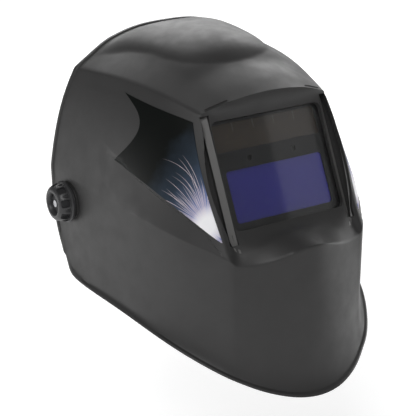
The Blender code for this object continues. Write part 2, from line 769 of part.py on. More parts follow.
def circuit():
    low = VIEW_CENTRE + VIEW_HEIGHT / 2 + 0.0045
    high = CARTRIDGE_HEIGHT / 2 - HOUSING_WALL - 0.0008
    top = CARTRIDGE_FRONT - HOUSING_WALL * 0.8 - GAP - 0.0018
    outline = rounded_outline(CARTRIDGE_WIDTH - 0.006, high - low, 0.001, centre_y=(high + low) / 2)
    board = plate("circuit_board", outline, top - BOARD_THICKNESS, top, lens_place())
    finish(board, "circuit_board", "board_green")
    for name, side in SIDES.items():
        seat = lens_place() @ Matrix.Translation((side * BATTERY_X, (high + low) / 2, 0))
        base = CARTRIDGE_BACK + HOUSING_WALL * 0.8 + GAP
        cell = disc("battery_" + name, BATTERY_RADIUS, base, base + BATTERY_THICKNESS, seat)
        finish(cell, "battery_" + name, "steel")


DIAL_STATIONS = {"shade": -DIAL_SPACING, "sensitivity": 0.0, "delay": DIAL_SPACING}
DIAL_UP = 0.0255
DIAL_SHAFT = 0.0018


def control_dial(name, x):
    """A finger dial on the wearer's side of the cartridge, turned about the lens axis."""
    place = lens_place() @ Matrix.Translation((x, DIAL_UP, 0))
    top = CARTRIDGE_BACK - GAP
    dial = plate(name, lobed_outline(DIAL_RADIUS, 0.0009, 10, 4), top - DIAL_HEIGHT, top, place)
    shaft_end = CARTRIDGE_BACK + HOUSING_WALL * 0.8 + 0.0008
    combine(dial, disc("dial_shaft", DIAL_SHAFT, top - DIAL_HEIGHT / 2, shaft_end, place, 16), "UNION")
    slot = box("dial_slot", (0.0011, DIAL_RADIUS, 0.0012), (0, DIAL_RADIUS / 2, top - DIAL_HEIGHT), place)
    combine(dial, slot, "DIFFERENCE")
    settle(dial)
    return finish(dial, name, "soft_black")


def inner_cover_lens():
    top = CARTRIDGE_BACK - GAP
    frame_inside = CARTRIDGE_WIDTH + 2 * (POCKET_GAP + POCKET_WALL - FRAME_BAR)
    frame_bottom = CARTRIDGE_HEIGHT / 2 + POCKET_GAP + POCKET_WALL - FRAME_BAR
    low = -frame_bottom + 2 * GAP
    high = DIAL_UP - DIAL_RADIUS - 3 * GAP
    outline = rounded_outline(frame_inside - 4 * GAP, high - low, 0.002, centre_y=(high + low) / 2)
    lens = plate("inner_cover_lens", outline, top - COVER_LENS_THICKNESS, top, lens_place())
    return finish(lens, "inner_cover_lens", "clear_cover")


def retainer_frame():
    """The frame that clamps the cartridge and both cover lenses in the shell's pocket."""
    place = lens_place()
    outer_width = CARTRIDGE_WIDTH + 2 * POCKET_GAP + 2 * POCKET_WALL
    outer_height = CARTRIDGE_HEIGHT + 2 * POCKET_GAP + 2 * POCKET_WALL
    top = BLOCK_BACK - GAP
    frame = plate(
        "retainer_frame", rounded_outline(outer_width, outer_height, 0.004),
        top - FRAME_THICKNESS, top, place,
    )
    opening = rounded_outline(outer_width - 2 * FRAME_BAR, outer_height - 2 * FRAME_BAR, 0.002)
    combine(frame, plate("frame_opening", opening, -0.03, 0.0, place), "DIFFERENCE")
    settle(frame)
    return finish(frame, "retainer_frame", "soft_black")


LATCH_X = CARTRIDGE_WIDTH / 2 + POCKET_GAP + POCKET_WALL + 0.0042
LATCH_WIDTH = 0.0075
LATCH_REACH = 0.010


def frame_latch(name, side):
    """A turn button whose tab holds the frame's side bar, and clears it a quarter turn on."""
    place = lens_place() @ Matrix.Translation((side * LATCH_X, 0, 0))
    base = BLOCK_BACK - GAP
    tab_top = BLOCK_BACK - FRAME_THICKNESS - 2 * GAP
    tab_bottom = tab_top - 0.002
    half = LATCH_WIDTH / 2
    tab = arc(0, 0, half, -math.pi / 2, math.pi / 2, 8)
    tab += arc(-LATCH_REACH, 0, half, math.pi / 2, 1.5 * math.pi, 8)
    tab = [(side * x, y) for x, y in tab]
    latch = plate(name, tab, tab_bottom, tab_top, place)
    combine(latch, disc("latch_post", 0.003, tab_top - 0.001, base, place, 20), "UNION")
    settle(latch)
    return finish(latch, name, "soft_black")


def cartridge():
    cover_lens()
    filter_housing_front()
    filter_housing_back()
    filter_glass()
    circuit()
    for name, x in DIAL_STATIONS.items():
        control_dial(name + "_dial", x)
    inner_cover_lens()
    retainer_frame()
    for name, side in SIDES.items():
        frame_latch("frame_latch_" + name, side)


# ---------------------------------------------------------------- tilt pivots

# Faces along the pivot axis, measured out from the middle of the helmet
BOSS_INNER = PIVOT_HALF_SPAN - BOSS_THICKNESS
INNER_WASHER_FACE = BOSS_INNER - GAP - WASHER_THICKNESS
TILT_PLATE_FACE = INNER_WASHER_FACE - GAP - TILT_PLATE_THICKNESS
ARM_FACE = TILT_PLATE_FACE - GAP - ARM_THICKNESS
OUTER_WASHER_FACE = PIVOT_HALF_SPAN + GAP + WASHER_THICKNESS
KNOB_BASE = OUTER_WASHER_FACE + GAP
KNOB_FACE = KNOB_BASE + KNOB_HEIGHT


def ring(name, inner, outer, bottom, top, place, segments=FINE):
    made = disc(name, outer, bottom, top, place, segments)
    combine(made, disc(name + "_bore", inner, bottom - 0.01, top + 0.01, place, segments), "DIFFERENCE")
    return settle(made)


def pivot_stack(name, side):
    place = pivot_place(side)
    bolt_end = KNOB_FACE - KNOB_RECESS_DEPTH + 0.0015
    bolt = disc("pivot_bolt_" + name, BOLT_RADIUS, ARM_FACE - 0.002, bolt_end, place)
    head_top = ARM_FACE - GAP
    head = disc("bolt_head", BOLT_HEAD_RADIUS, head_top - BOLT_HEAD_THICKNESS, head_top, place)
    combine(bolt, head, "UNION")
    settle(bolt)
    finish(bolt, "pivot_bolt_" + name, "steel")
    bushing = ring(
        "pivot_bushing_" + name, BOLT_RADIUS + GAP, BUSHING_RADIUS,
        INNER_WASHER_FACE, OUTER_WASHER_FACE, place,
    )
    finish(bushing, "pivot_bushing_" + name, "soft_black")
    hole = BUSHING_RADIUS + GAP
    inner = ring(
        "inner_washer_" + name, hole, WASHER_RADIUS,
        INNER_WASHER_FACE, INNER_WASHER_FACE + WASHER_THICKNESS, place,
    )
    finish(inner, "inner_washer_" + name, "fibre_grey")
    outer = ring(
        "outer_washer_" + name, hole, WASHER_RADIUS,
        OUTER_WASHER_FACE - WASHER_THICKNESS, OUTER_WASHER_FACE, place,
    )
    finish(outer, "outer_washer_" + name, "fibre_grey")
    stop = ring(
        "tilt_plate_" + name, BOLT_RADIUS + GAP, TILT_PLATE_RADIUS,
        TILT_PLATE_FACE, TILT_PLATE_FACE + TILT_PLATE_THICKNESS, place,
    )
    finish(stop, "tilt_plate_" + name, "soft_black")


def tension_knob(name, side):
    """Round skirt, lobed grip and a recessed hub with the bolt's end in it."""
    place = pivot_place(side)
    full = "tension_knob_" + name
    knob = disc(full, KNOB_RADIUS, KNOB_BASE, KNOB_BASE + 0.003, place)
    grip = lobed_outline(KNOB_RADIUS - 0.0008, 0.0026, KNOB_LOBES, 8)
    combine(knob, plate("grip", grip, KNOB_BASE + 0.002, KNOB_FACE - 0.002, place), "UNION")
    rim = disc("front_rim", KNOB_RADIUS - 0.0035, KNOB_FACE - 0.004, KNOB_FACE, place)
    combine(knob, rim, "UNION")
    hollow = disc("hub_recess", KNOB_RECESS_RADIUS, KNOB_FACE - KNOB_RECESS_DEPTH, KNOB_FACE + 0.01, place)
    combine(knob, hollow, "DIFFERENCE")
    combine(knob, disc("bolt_bore", BOLT_RADIUS + GAP, KNOB_BASE - 0.01, KNOB_FACE, place), "DIFFERENCE")
    seat = disc("insert_seat", INSERT_RADIUS + GAP, KNOB_BASE - 0.01, KNOB_BASE + INSERT_LENGTH + GAP, place)
    combine(knob, seat, "DIFFERENCE")
    settle(knob)
    finish(knob, full, "soft_black")
    insert = ring(
        "knob_insert_" + name, BOLT_RADIUS + GAP, INSERT_RADIUS,
        KNOB_BASE, KNOB_BASE + INSERT_LENGTH, place, 24,
    )
    finish(insert, "knob_insert_" + name, "brass")


# ---------------------------------------------------------------- headgear

def band_sector(name, offset, thickness, half_height, start, end, steps=40):
    """A strip bent to the head's oval. The angle is zero at the brow and 180 degrees at the nape.

    half_height is a function of the angle. The strip lies between offset and offset + thickness
    outside the oval.
    """
    made = bmesh.new()
    rails = []
    for step in range(steps + 1):
        angle = start + (end - start) * step / steps
        across, along = math.sin(angle), -math.cos(angle)
        tall = half_height(angle)
        corners = []
        for reach in (offset, offset + thickness):
            x = (HEAD_HALF_WIDTH + reach) * across
            y = (HEAD_HALF_LENGTH + reach) * along
            corners.append((x, y))
        (x0, y0), (x1, y1) = corners
        loop = [(x0, y0, -tall), (x1, y1, -tall), (x1, y1, tall), (x0, y0, tall)]
        rails.append([made.verts.new(corner) for corner in loop])
    for low, high in zip(rails, rails[1:]):
        for side in range(4):
            after = (side + 1) % 4
            made.faces.new((low[side], low[after], high[after], high[side]))
    made.faces.new(rails[0][::-1])
    made.faces.new(rails[-1])
    bmesh.ops.recalc_face_normals(made, faces=made.faces)
    return object_from(made, name, band_place())


def band_half_height(angle):
    front = max(0.0, math.cos(angle))
    return mix(BAND_SIDE_HEIGHT, BAND_HEIGHT, front ** 1.5) / 2


def rack_y():
    return HEAD_HALF_LENGTH + BAND_THICKNESS / 2


def headband():
    """Band with its two tails left as an upper and a lower rack that face each other at the nape."""
    start = 0.5 * math.pi
    band = band_sector("headband", 0.0, BAND_THICKNESS, band_half_height, -start, start)
    half = RATCHET_WIDTH / 2
    for side in SIDES.values():
        back = band_sector(
            "tail", 0.0, BAND_THICKNESS, band_half_height,
            side * (start - 0.01), side * (math.pi - math.asin(0.62 * half / HEAD_HALF_WIDTH)), 16,
        )
        combine(band, back, "UNION")
    settle(band)
    place = band_place()
    reach = math.asin(0.60 * half / HEAD_HALF_WIDTH)
    for side in SIDES.values():
        # the right tail carries the upper rack, the left tail the lower one
        high = side < 0
        rack = band_sector(
            "rack", 0.0, BAND_THICKNESS, lambda angle: RACK_BAR / 2,
            side * (math.pi - reach - 0.08), side * (math.pi + 0.75 * reach), 16,
        )
        lift = (RACK_HEIGHT / 2 + RACK_BAR / 2) * (1 if high else -1)
        rack.matrix_world = place @ Matrix.Translation((0, 0, lift))
        combine(band, rack, "UNION")
    settle(band)
    for side in SIDES.values():
        sign = 1 if side < 0 else -1
        for step in range(-4, 5):
            tooth = box(
                "rack_gap", (RACK_TOOTH_PITCH / 2, 0.02, 0.0024),
                (step * RACK_TOOTH_PITCH, rack_y(), sign * RACK_HEIGHT / 2), place,
            )
            combine(band, tooth, "DIFFERENCE")
        hole = disc(
            "strap_rivet_hole", RIVET_RADIUS + GAP, -0.02, 0.02,
            strap_rivet_place(side), 16,
        )
        combine(band, hole, "DIFFERENCE")
        hole = disc("arm_rivet_hole", RIVET_RADIUS + GAP, -0.03, 0.03, arm_rivet_place(side), 16)
        combine(band, hole, "DIFFERENCE")
    settle(band)
    return finish(band, "headband", "soft_black")


RACK_BAR = 0.0045
RIVET_RADIUS = 0.002
RIVET_HEAD_RADIUS = 0.0042
RIVET_HEAD_THICKNESS = 0.0012
ARM_RIVET_Y = -0.016
ARM_RIVET_Z = 0.012
STRAP_RIVET_Z = 0.006
STRAP_FOOT_GAP = 0.0011


def band_outer_x(y):
    return (HEAD_HALF_WIDTH + BAND_THICKNESS) * math.sqrt(
        max(0.0, 1 - ((y - HEAD_CENTRE_Y) / (HEAD_HALF_LENGTH + BAND_THICKNESS)) ** 2)
    )


def strap_rivet_place(side):
    """Origin on the band's outer face at the strap's foot, with Z pointing outward."""
    turn = Matrix.Rotation(side * math.pi / 2, 4, "Y")
    band_side = side * (HEAD_HALF_WIDTH + BAND_THICKNESS)
    return Matrix.Translation((band_side, HEAD_CENTRE_Y, STRAP_RIVET_Z)) @ turn


def arm_rivet_place(side):
    turn = Matrix.Rotation(side * math.pi / 2, 4, "Y")
    return Matrix.Translation((side * band_outer_x(ARM_RIVET_Y), ARM_RIVET_Y, ARM_RIVET_Z)) @ turn


def rivet(name, place, inner_face, outer_face, colour="soft_black"):
    pin = disc(name, RIVET_RADIUS, inner_face - 0.0005, outer_face + 0.0005, place, 16)
    head = disc("head", RIVET_HEAD_RADIUS, inner_face - RIVET_HEAD_THICKNESS, inner_face, place, 20)
    tail = disc("tail", RIVET_HEAD_RADIUS, outer_face, outer_face + RIVET_HEAD_THICKNESS, place, 20)
    combine(pin, head, "UNION")
    combine(pin, tail, "UNION")
    settle(pin)
    return finish(pin, name, colour)


def side_arm(name, side):
    """Flat arm on the pivot with a standing block that reaches in to the headband."""
    full = "side_arm_" + name
    place = pivot_place(side)
    top = ARM_FACE + ARM_THICKNESS
    # local X of the pivot frame runs down on the left side and up on the right side
    sign = -side
    foot_x, foot_y = sign * (ARM_RIVET_Z - PIVOT_Z), ARM_RIVET_Y - PIVOT_Y
    half = ARM_HEIGHT / 2
    angle = math.atan2(foot_y, foot_x)
    outline = arc(0, 0, half, angle + math.pi / 2, angle + 1.5 * math.pi, 12)
    outline += arc(foot_x * 1.5, foot_y * 1.5, half, angle - math.pi / 2, angle + math.pi / 2, 12)
    arm = plate(full, outline, ARM_FACE, top, place)
    inner = band_outer_x(ARM_RIVET_Y) - 0.006
    block = plate(
        "arm_block", rounded_outline(0.018, 0.022, 0.004, foot_x, foot_y), inner, ARM_FACE + 0.001, place,
    )
    combine(arm, block, "UNION")
    settle(arm)
    clear = band_sector(
        "band_clearance", -0.02, 0.02 + BAND_THICKNESS + GAP, lambda turn: 0.03, -2.4, 2.4, 48,
    )
    combine(arm, clear, "DIFFERENCE")
    pit = disc("bolt_head_clearance", BOLT_HEAD_RADIUS + GAP, ARM_FACE - 0.03, ARM_FACE, place)
    combine(arm, pit, "DIFFERENCE")
    bore = disc("bolt_clearance", BOLT_RADIUS + GAP, ARM_FACE - 0.02, top + 0.02, place)
    combine(arm, bore, "DIFFERENCE")
    outer = ARM_FACE + ARM_THICKNESS - band_outer_x(ARM_RIVET_Y)
    hole = disc("rivet_clearance", RIVET_RADIUS + GAP, -0.01, outer + 0.02, arm_rivet_place(side), 16)
    combine(arm, hole, "DIFFERENCE")
    settle(arm)
    finish(arm, full, "soft_black")
    pit = disc(
        "rivet_pit", RIVET_HEAD_RADIUS + GAP, outer - 0.0018, outer + 0.01, arm_rivet_place(side), 20,
    )
    combine(arm, pit, "DIFFERENCE")
    settle(arm)
    rivet("arm_rivet_" + name, arm_rivet_place(side), -BAND_THICKNESS - 0.0026, outer - 0.0018 + GAP)


def crown_strap(name, side):
    """Half of the over-head strap. The right half lies on top of the left half at the crown."""
    full = "crown_strap_" + name
    layer = GAP if side > 0 else GAP * 2 + STRAP_THICKNESS
    foot_layer = STRAP_FOOT_GAP
    made = bmesh.new()
    rails = []
    start, end = 0.0, math.radians(106)
    steps = 30
    foot_z = STRAP_RIVET_Z
    for step in range(steps + 4):
        share = max(0.0, (step - 3) / steps)
        angle = start + (end - start) * share
        # the strap stands straight up past the band before it curves over the head
        wide = HEAD_HALF_WIDTH + BAND_THICKNESS
        lift = mix(foot_layer, layer, min(1.0, share * 2))
        drop = (3 - step) * 0.004 if step < 3 else 0.0
        loop = []
        for reach in (lift, lift + STRAP_THICKNESS):
            x = (wide + reach) * math.copysign(abs(math.cos(angle)) ** 0.75, math.cos(angle))
            z = foot_z + (STRAP_CROWN_UP - foot_z + reach) * math.sin(angle) - drop
            loop.append((side * x, z))
        (x0, z0), (x1, z1) = loop
        near, far = HEAD_CENTRE_Y - STRAP_WIDTH / 2, HEAD_CENTRE_Y + STRAP_WIDTH / 2
        corners = [(x0, near, z0), (x1, near, z1), (x1, far, z1), (x0, far, z0)]
        rails.append([made.verts.new(corner) for corner in corners])
    for low, high in zip(rails, rails[1:]):
        for edge in range(4):
            after = (edge + 1) % 4
            made.faces.new((low[edge], low[after], high[after], high[edge]))
    made.faces.new(rails[0][::-1])
    made.faces.new(rails[-1])
    bmesh.ops.recalc_face_normals(made, faces=made.faces)
    strap = object_from(made, full)
    foot_hole = disc("foot_hole", RIVET_RADIUS + GAP, -0.02, 0.02, strap_rivet_place(side), 16)
    combine(strap, foot_hole, "DIFFERENCE")
    holes = range(-1, 2) if side > 0 else range(0, 1)
    for step in holes:
        spot = Matrix.Translation((step * STRAP_HOLE_PITCH, HEAD_CENTRE_Y, 0))
        low, high = STRAP_CROWN_UP - 0.02, STRAP_CROWN_UP + 0.02
        cut = disc("strap_hole", STRAP_PIN_RADIUS + GAP, low, high, spot, 20)
        combine(strap, cut, "DIFFERENCE")
    settle(strap)
    finish(strap, full, "soft_black")
    rivet(
        "strap_rivet_" + name, strap_rivet_place(side), -BAND_THICKNESS - GAP,
        STRAP_FOOT_GAP + GAP + STRAP_THICKNESS,
    )


def strap_pin():
    """The peg that joins the two strap halves over the head."""
    place = Matrix.Translation((0, HEAD_CENTRE_Y, STRAP_CROWN_UP))
    top = 3 * GAP + 2 * STRAP_THICKNESS
    pin = disc("strap_pin", STRAP_PIN_RADIUS, -0.0002, top + 0.0005, place, 20)
    combine(pin, disc("pin_foot", 0.0055, -0.0016, 0.0, place, 24), "UNION")
    combine(pin, disc("pin_button", 0.0042, top, top + 0.0016, place, 24), "UNION")
    settle(pin)
    return finish(pin, "strap_pin", "soft_black")


def soft_pads():
    pad = band_sector(
        "sweatband", -GAP - SWEATBAND_THICKNESS, SWEATBAND_THICKNESS,
        lambda angle: SWEATBAND_HEIGHT / 2, -SWEATBAND_ANGLE, SWEATBAND_ANGLE, 32,
    )
    finish(pad, "sweatband", "terry_black")
    reach = math.asin(REAR_PAD_WIDTH / 2 / HEAD_HALF_WIDTH)
    inner = -2 * GAP - RATCHET_WALL - GAP - REAR_PAD_THICKNESS
    pad = band_sector(
        "rear_pad", inner, REAR_PAD_THICKNESS, lambda angle: REAR_PAD_HEIGHT / 2,
        math.pi - reach, math.pi + reach, 20,
    )
    finish(pad, "rear_pad", "foam_grey")


def ratchet_place():
    """Ratchet axis: origin on the head's oval at the nape, Z pointing back."""
    turn = Matrix.Rotation(-math.pi / 2, 4, "X")
    return band_place() @ Matrix.Translation((0, HEAD_HALF_LENGTH, 0)) @ turn


SPRING_THICKNESS = 0.0007
BOSS_FACE = 0.0078
AXLE_RADIUS = 0.0032


def ratchet():
    place = ratchet_place()
    reach = math.asin(RATCHET_WIDTH / 2 / HEAD_HALF_WIDTH)
    housing = band_sector(
        "ratchet_housing", BAND_THICKNESS + GAP, RATCHET_WALL + 0.0006, lambda angle: RATCHET_HEIGHT / 2,
        math.pi - reach, math.pi + reach, 20,
    )
    combine(housing, disc("gear_boss", 0.016, BAND_THICKNESS + 0.0012, BOSS_FACE, place), "UNION")
    gear_room = disc("gear_room", PINION_RADIUS + 0.0012, -0.01, BOSS_FACE - 0.0016, place)
    combine(housing, gear_room, "DIFFERENCE")
    combine(housing, disc("axle_hole", AXLE_RADIUS + GAP, -0.01, 0.03, place), "DIFFERENCE")
    settle(housing)
    finish(housing, "ratchet_housing", "soft_black")
    cover = band_sector(
        "ratchet_cover", -GAP - RATCHET_WALL, RATCHET_WALL, lambda angle: RATCHET_HEIGHT / 2 - 0.0005,
        math.pi - reach, math.pi + reach, 20,
    )
    finish(cover, "ratchet_cover", "soft_black")

    gear = []
    for step in range(PINION_TEETH * 4):
        radius = PINION_RADIUS if step % 4 < 2 else PINION_RADIUS - 0.0018
        angle = 2 * math.pi * step / (PINION_TEETH * 4)
        gear.append((radius * math.cos(angle), radius * math.sin(angle)))
    pinion = plate("ratchet_pinion", gear, 0.0002, BOSS_FACE - 0.0016 - GAP, place)
    knob_base = BOSS_FACE + 2 * GAP + SPRING_THICKNESS
    axle_end = knob_base + 0.008
    combine(pinion, disc("axle", AXLE_RADIUS, 0.002, axle_end, place, 20), "UNION")
    combine(pinion, disc("screw_bore", 0.0018, axle_end - 0.007, axle_end + 0.01, place, 16), "DIFFERENCE")
    settle(pinion)
    finish(pinion, "ratchet_pinion", "soft_black")

    spring_base = BOSS_FACE + GAP
    spring = ring(
        "ratchet_spring", 0.0085, 0.0125, spring_base, spring_base + SPRING_THICKNESS, place, 28,
    )
    finish(spring, "ratchet_spring", "steel")

    outline = lobed_outline(RATCHET_KNOB_RADIUS, 0.0035, RATCHET_KNOB_LOBES, 6)
    knob_face = knob_base + RATCHET_KNOB_DEPTH
    knob = plate("ratchet_knob", outline, knob_base, knob_face, place)
    combine(knob, disc("knob_bore", AXLE_RADIUS + GAP, knob_base - 0.01, axle_end + GAP, place, 20), "DIFFERENCE")
    combine(knob, disc("screw_way", 0.0018, axle_end, knob_face + 0.01, place, 16), "DIFFERENCE")
    pit_floor = knob_face - 0.004
    combine(knob, disc("screw_pit", 0.0048, pit_floor, knob_face + 0.01, place, 24), "DIFFERENCE")
    settle(knob)
    finish(knob, "ratchet_knob", "soft_black")

    screw = disc("ratchet_screw", 0.0014, axle_end - 0.006, pit_floor + GAP + 0.0005, place, 12)
    combine(screw, disc("screw_head", 0.0036, pit_floor + GAP, pit_floor + GAP + 0.002, place, 20), "UNION")
    settle(screw)
    finish(screw, "ratchet_screw", "steel")


def headgear():
    headband()
    for name, side in SIDES.items():
        side_arm(name, side)
        crown_strap(name, side)
    strap_pin()
    soft_pads()
    ratchet()


def hang_on_pivot(pieces):
    """Parents the tilting pieces to an empty on the pivots' axis, each left where it is."""
    axis = bpy.data.objects.new("tilt_axis", None)
    axis.empty_display_size = 0.02
    axis.location = (0, PIVOT_Y, PIVOT_Z)
    MODEL.objects.link(axis)
    bpy.context.view_layer.update()
    for piece in pieces:
        piece.parent = axis
        piece.matrix_parent_inverse = axis.matrix_world.inverted()


def build():
    helmet_shell()
    side_decals()
    cartridge()
    hang_on_pivot(list(MODEL.objects))
    for name, side in SIDES.items():
        pivot_stack(name, side)
        tension_knob(name, side)
    headgear()


build()
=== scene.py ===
"""Looks of the auto-darkening welding helmet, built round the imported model."""

import json
import math
from functools import partial, reduce

import bmesh
import bpy
from mathutils import Matrix, Vector
from mathutils.kdtree import KDTree


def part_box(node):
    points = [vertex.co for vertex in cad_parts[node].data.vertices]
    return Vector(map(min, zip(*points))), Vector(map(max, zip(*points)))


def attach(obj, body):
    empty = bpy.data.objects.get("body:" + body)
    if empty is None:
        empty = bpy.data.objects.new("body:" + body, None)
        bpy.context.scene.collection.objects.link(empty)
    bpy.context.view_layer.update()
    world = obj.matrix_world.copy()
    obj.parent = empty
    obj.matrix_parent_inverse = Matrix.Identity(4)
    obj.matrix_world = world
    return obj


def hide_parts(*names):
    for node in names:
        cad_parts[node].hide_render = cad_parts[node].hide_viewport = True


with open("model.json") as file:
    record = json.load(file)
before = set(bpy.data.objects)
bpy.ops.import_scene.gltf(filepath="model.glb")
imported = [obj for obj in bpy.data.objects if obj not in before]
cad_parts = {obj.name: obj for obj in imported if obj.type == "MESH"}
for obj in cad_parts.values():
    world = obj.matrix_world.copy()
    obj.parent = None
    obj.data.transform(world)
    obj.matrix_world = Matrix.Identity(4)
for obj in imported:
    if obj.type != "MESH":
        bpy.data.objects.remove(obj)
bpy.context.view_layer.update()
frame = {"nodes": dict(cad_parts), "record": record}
NODES = frame["nodes"]
SCENE = bpy.context.scene

# Overall sizes of the moulded shell
SHELL_HALF_WIDTH = 0.116
NOSE_REACH = 0.195        # from the widest station forward to the chin, in plan
WIDEST_Y = -0.019
REAR_Y = 0.026
CROWN_HEIGHT = 0.1375
CHIN_DROP = 0.120         # lowest point of the rim below the pivot axis
SIDE_DROP = 0.066         # rim below the pivot axis beside the neck
SHELL_WALL = 0.0026
RIM_FLARE = 0.0065
RIM_FLARE_HEIGHT = 0.011
BUBBLE_RISE = 0.005
REAR_BOW = 0.004          # the rear edge bows back between its corners and the crown

# Lens plane and hood
LENS_LEAN = math.radians(26.5)
LENS_FORWARD = 0.148
LENS_UP = 0.056
WINDOW_WIDTH = 0.105
WINDOW_HEIGHT = 0.088
WINDOW_CORNER = 0.0055
LIP_WIDTH = 0.0053
LIP_THICKNESS = 0.0026
GROOVE_WIDTH = 0.0058
GROOVE_DEPTH = 0.011
HOOD_BULGE = 0.007        # how far the hood's side rims bow outward at mid height
BROW_CLEARANCE = 0.0078   # window's top edge to the brow corners
BROW_PEAK_UP = 0.0073
BROW_PEAK_OUT = 0.015
CHEEK_CLEARANCE = 0.0172  # window's bottom edge to the hood's lower tips

DECAL_LENGTH = 0.0795     # brow corner back to the decal's rear tip
DECAL_SCOOP = 0.0225
DECAL_THICKNESS = 0.0003

# Filter cartridge
CARTRIDGE_WIDTH = 0.110
CARTRIDGE_HEIGHT = 0.090
CARTRIDGE_DEPTH = 0.009
CARTRIDGE_CORNER = 0.003
POCKET_GAP = 0.0006
COVER_LENS_THICKNESS = 0.001
SOLAR_WIDTH = 0.0985
SOLAR_CENTRE = 0.0305

# Tilt pivots
PIVOT_Y = -0.004
PIVOT_Z = 0.0015
PIVOT_HALF_SPAN = SHELL_HALF_WIDTH + 0.0006  # outer face of the shell's pivot bosses
BOSS_RADIUS = 0.0165
BOSS_THICKNESS = 0.0036
BUSHING_RADIUS = 0.006
TILT_PLATE_RADIUS = 0.018
KNOB_LOBES = 7

# Headgear
HEAD_HALF_WIDTH = 0.078
HEAD_HALF_LENGTH = 0.097
HEAD_CENTRE_Y = 0.024
BAND_TILT = math.radians(16.5)
BAND_RISE = 0.009         # middle of the band's plane above the pivot axis
SWEATBAND_HEIGHT = 0.034

GAP = 0.0003              # between pieces that touch
SIDES = {"right": -1, "left": 1}


def arc(centre_x, centre_y, radius, start, end, steps):
    points = []
    for step in range(steps + 1):
        angle = start + (end - start) * step / steps
        points.append((centre_x + radius * math.cos(angle), centre_y + radius * math.sin(angle)))
    return points


def rounded_outline(width, height, corner, centre_y=0.0, steps=4):
    across = width / 2 - corner
    up = height / 2 - corner
    points = []
    for turn, (sx, sy) in enumerate(((1, 1), (-1, 1), (-1, -1), (1, -1))):
        start = turn * math.pi / 2
        points += arc(sx * across, centre_y + sy * up, corner, start, start + math.pi / 2, steps)
    return points


def settle(obj):
    """Makes the evaluated mesh the object's own, so that later Booleans work on plain meshes."""
    bpy.context.view_layer.update()
    graph = bpy.context.evaluated_depsgraph_get()
    mesh = bpy.data.meshes.new_from_object(obj.evaluated_get(graph))
    obj.modifiers.clear()
    old = obj.data
    obj.data = mesh
    bpy.data.meshes.remove(old)
    return obj


def lens_place():
    """Lens plane: local X to the wearer's left, Y up the lens, Z out through the window."""
    turn = Matrix.Rotation(math.pi / 2 - LENS_LEAN, 4, "X")
    return Matrix.Translation((0, -LENS_FORWARD, LENS_UP)) @ turn


def pivot_place(side):
    """Pivot axis: local Z points out through the shell's side at the pivot."""
    return Matrix.Translation((0, PIVOT_Y, PIVOT_Z)) @ Matrix.Rotation(side * math.pi / 2, 4, "Y")


def band_place():
    """Headband plane: its middle, with the front raised."""
    turn = Matrix.Rotation(-BAND_TILT, 4, "X")
    return Matrix.Translation((0, HEAD_CENTRE_Y, BAND_RISE)) @ turn


def mix(a, b, share):
    return a + (b - a) * share


def on_lens(x, up, out):
    return lens_place() @ Vector((x, up, out))


def plan_width(y, half_width, reach):
    """Half width of the shell's rounded plan at a station."""
    if y >= WIDEST_Y:
        return half_width
    return half_width * math.sqrt(max(0.0, 1 - ((WIDEST_Y - y) / reach) ** 2))


def plan_front(x, half_width, reach):
    """How far forward the rounded plan reaches at a distance from the middle."""
    return WIDEST_Y - reach * math.sqrt(max(0.0, 1 - (x / half_width) ** 2))


def bottom_height(y):
    """Height of the shell's lower rim, which drops toward the chin."""
    start = WIDEST_Y - 0.29 * NOSE_REACH
    run = max(0.0, (start - y) / (start - WIDEST_Y + NOSE_REACH + RIM_FLARE))
    return -SIDE_DROP - (CHIN_DROP - SIDE_DROP) * run ** 1.5


# Stations from the rear edge to the hood, along the lower crease, and the crown's stations above them
LOWER_STATIONS = (1.0, 0.72, 0.45, 0.0, -0.34, -0.56, -0.70, -0.83)
CROWN_STATIONS = (0.026, 0.019, 0.010, -0.028, -0.060, -0.083, -0.094, -0.117)
CROWN_RISES = (1.0, 1.0, 1.01, 1.03, 1.028, 0.992, 0.955, 0.91)
FRONT_SHARES = (0.75, 0.38, 0.0)  # of the hood's half width, for the columns before the chin
FLOOR_SHARES = (0.70, 0.38, 0.0)  # the same, for the columns of the hood's floor
HOOD_COLUMN = len(LOWER_STATIONS)


def hood_half_width():
    return WINDOW_WIDTH / 2 + LIP_WIDTH


def brow_corner():
    return on_lens(hood_half_width() + 0.0016, WINDOW_HEIGHT / 2 + BROW_CLEARANCE, 0.0023)


def cheek_tip():
    return on_lens(hood_half_width() - 0.0005, -WINDOW_HEIGHT / 2 - CHEEK_CLEARANCE, -0.0006)


def lower_crease():
    """The shoulder line from the rear edge round to the raised nose arch."""
    line = []
    for share in LOWER_STATIONS:
        y = REAR_Y * share if share > 0 else WIDEST_Y + share * NOSE_REACH
        drop = max(0.0, (WIDEST_Y - y) / NOSE_REACH)
        line.append(Vector((plan_width(y, SHELL_HALF_WIDTH, NOSE_REACH), y, 0.025 - 0.036 * drop ** 2)))
    tip = cheek_tip()
    line.append(Vector((tip.x + 0.004, tip.y - 0.0055, tip.z - 0.006)))
    nose = plan_front(0, SHELL_HALF_WIDTH, NOSE_REACH) + 0.008
    for share, back, up in zip(FRONT_SHARES, (0.019, 0.008, 0.0), (-0.0075, 0.001, 0.0105)):
        line.append(Vector((share * (hood_half_width() + 0.003), nose + back, up)))
    return line


def upper_crease():
    """The brow line from the rear edge forward to the brow corner."""
    corner = brow_corner()
    line = []
    for y in CROWN_STATIONS:
        share = (REAR_Y - y) / (REAR_Y - corner.y)
        arch = math.sin(math.pi * share)
        x = mix(SHELL_HALF_WIDTH * 0.776, corner.x, share) + 0.0015 * arch
        z = mix(CROWN_HEIGHT * 0.785, corner.z, share) + 0.0068 * arch
        line.append(Vector((x, y, z)))
    line.append(corner)
    return line


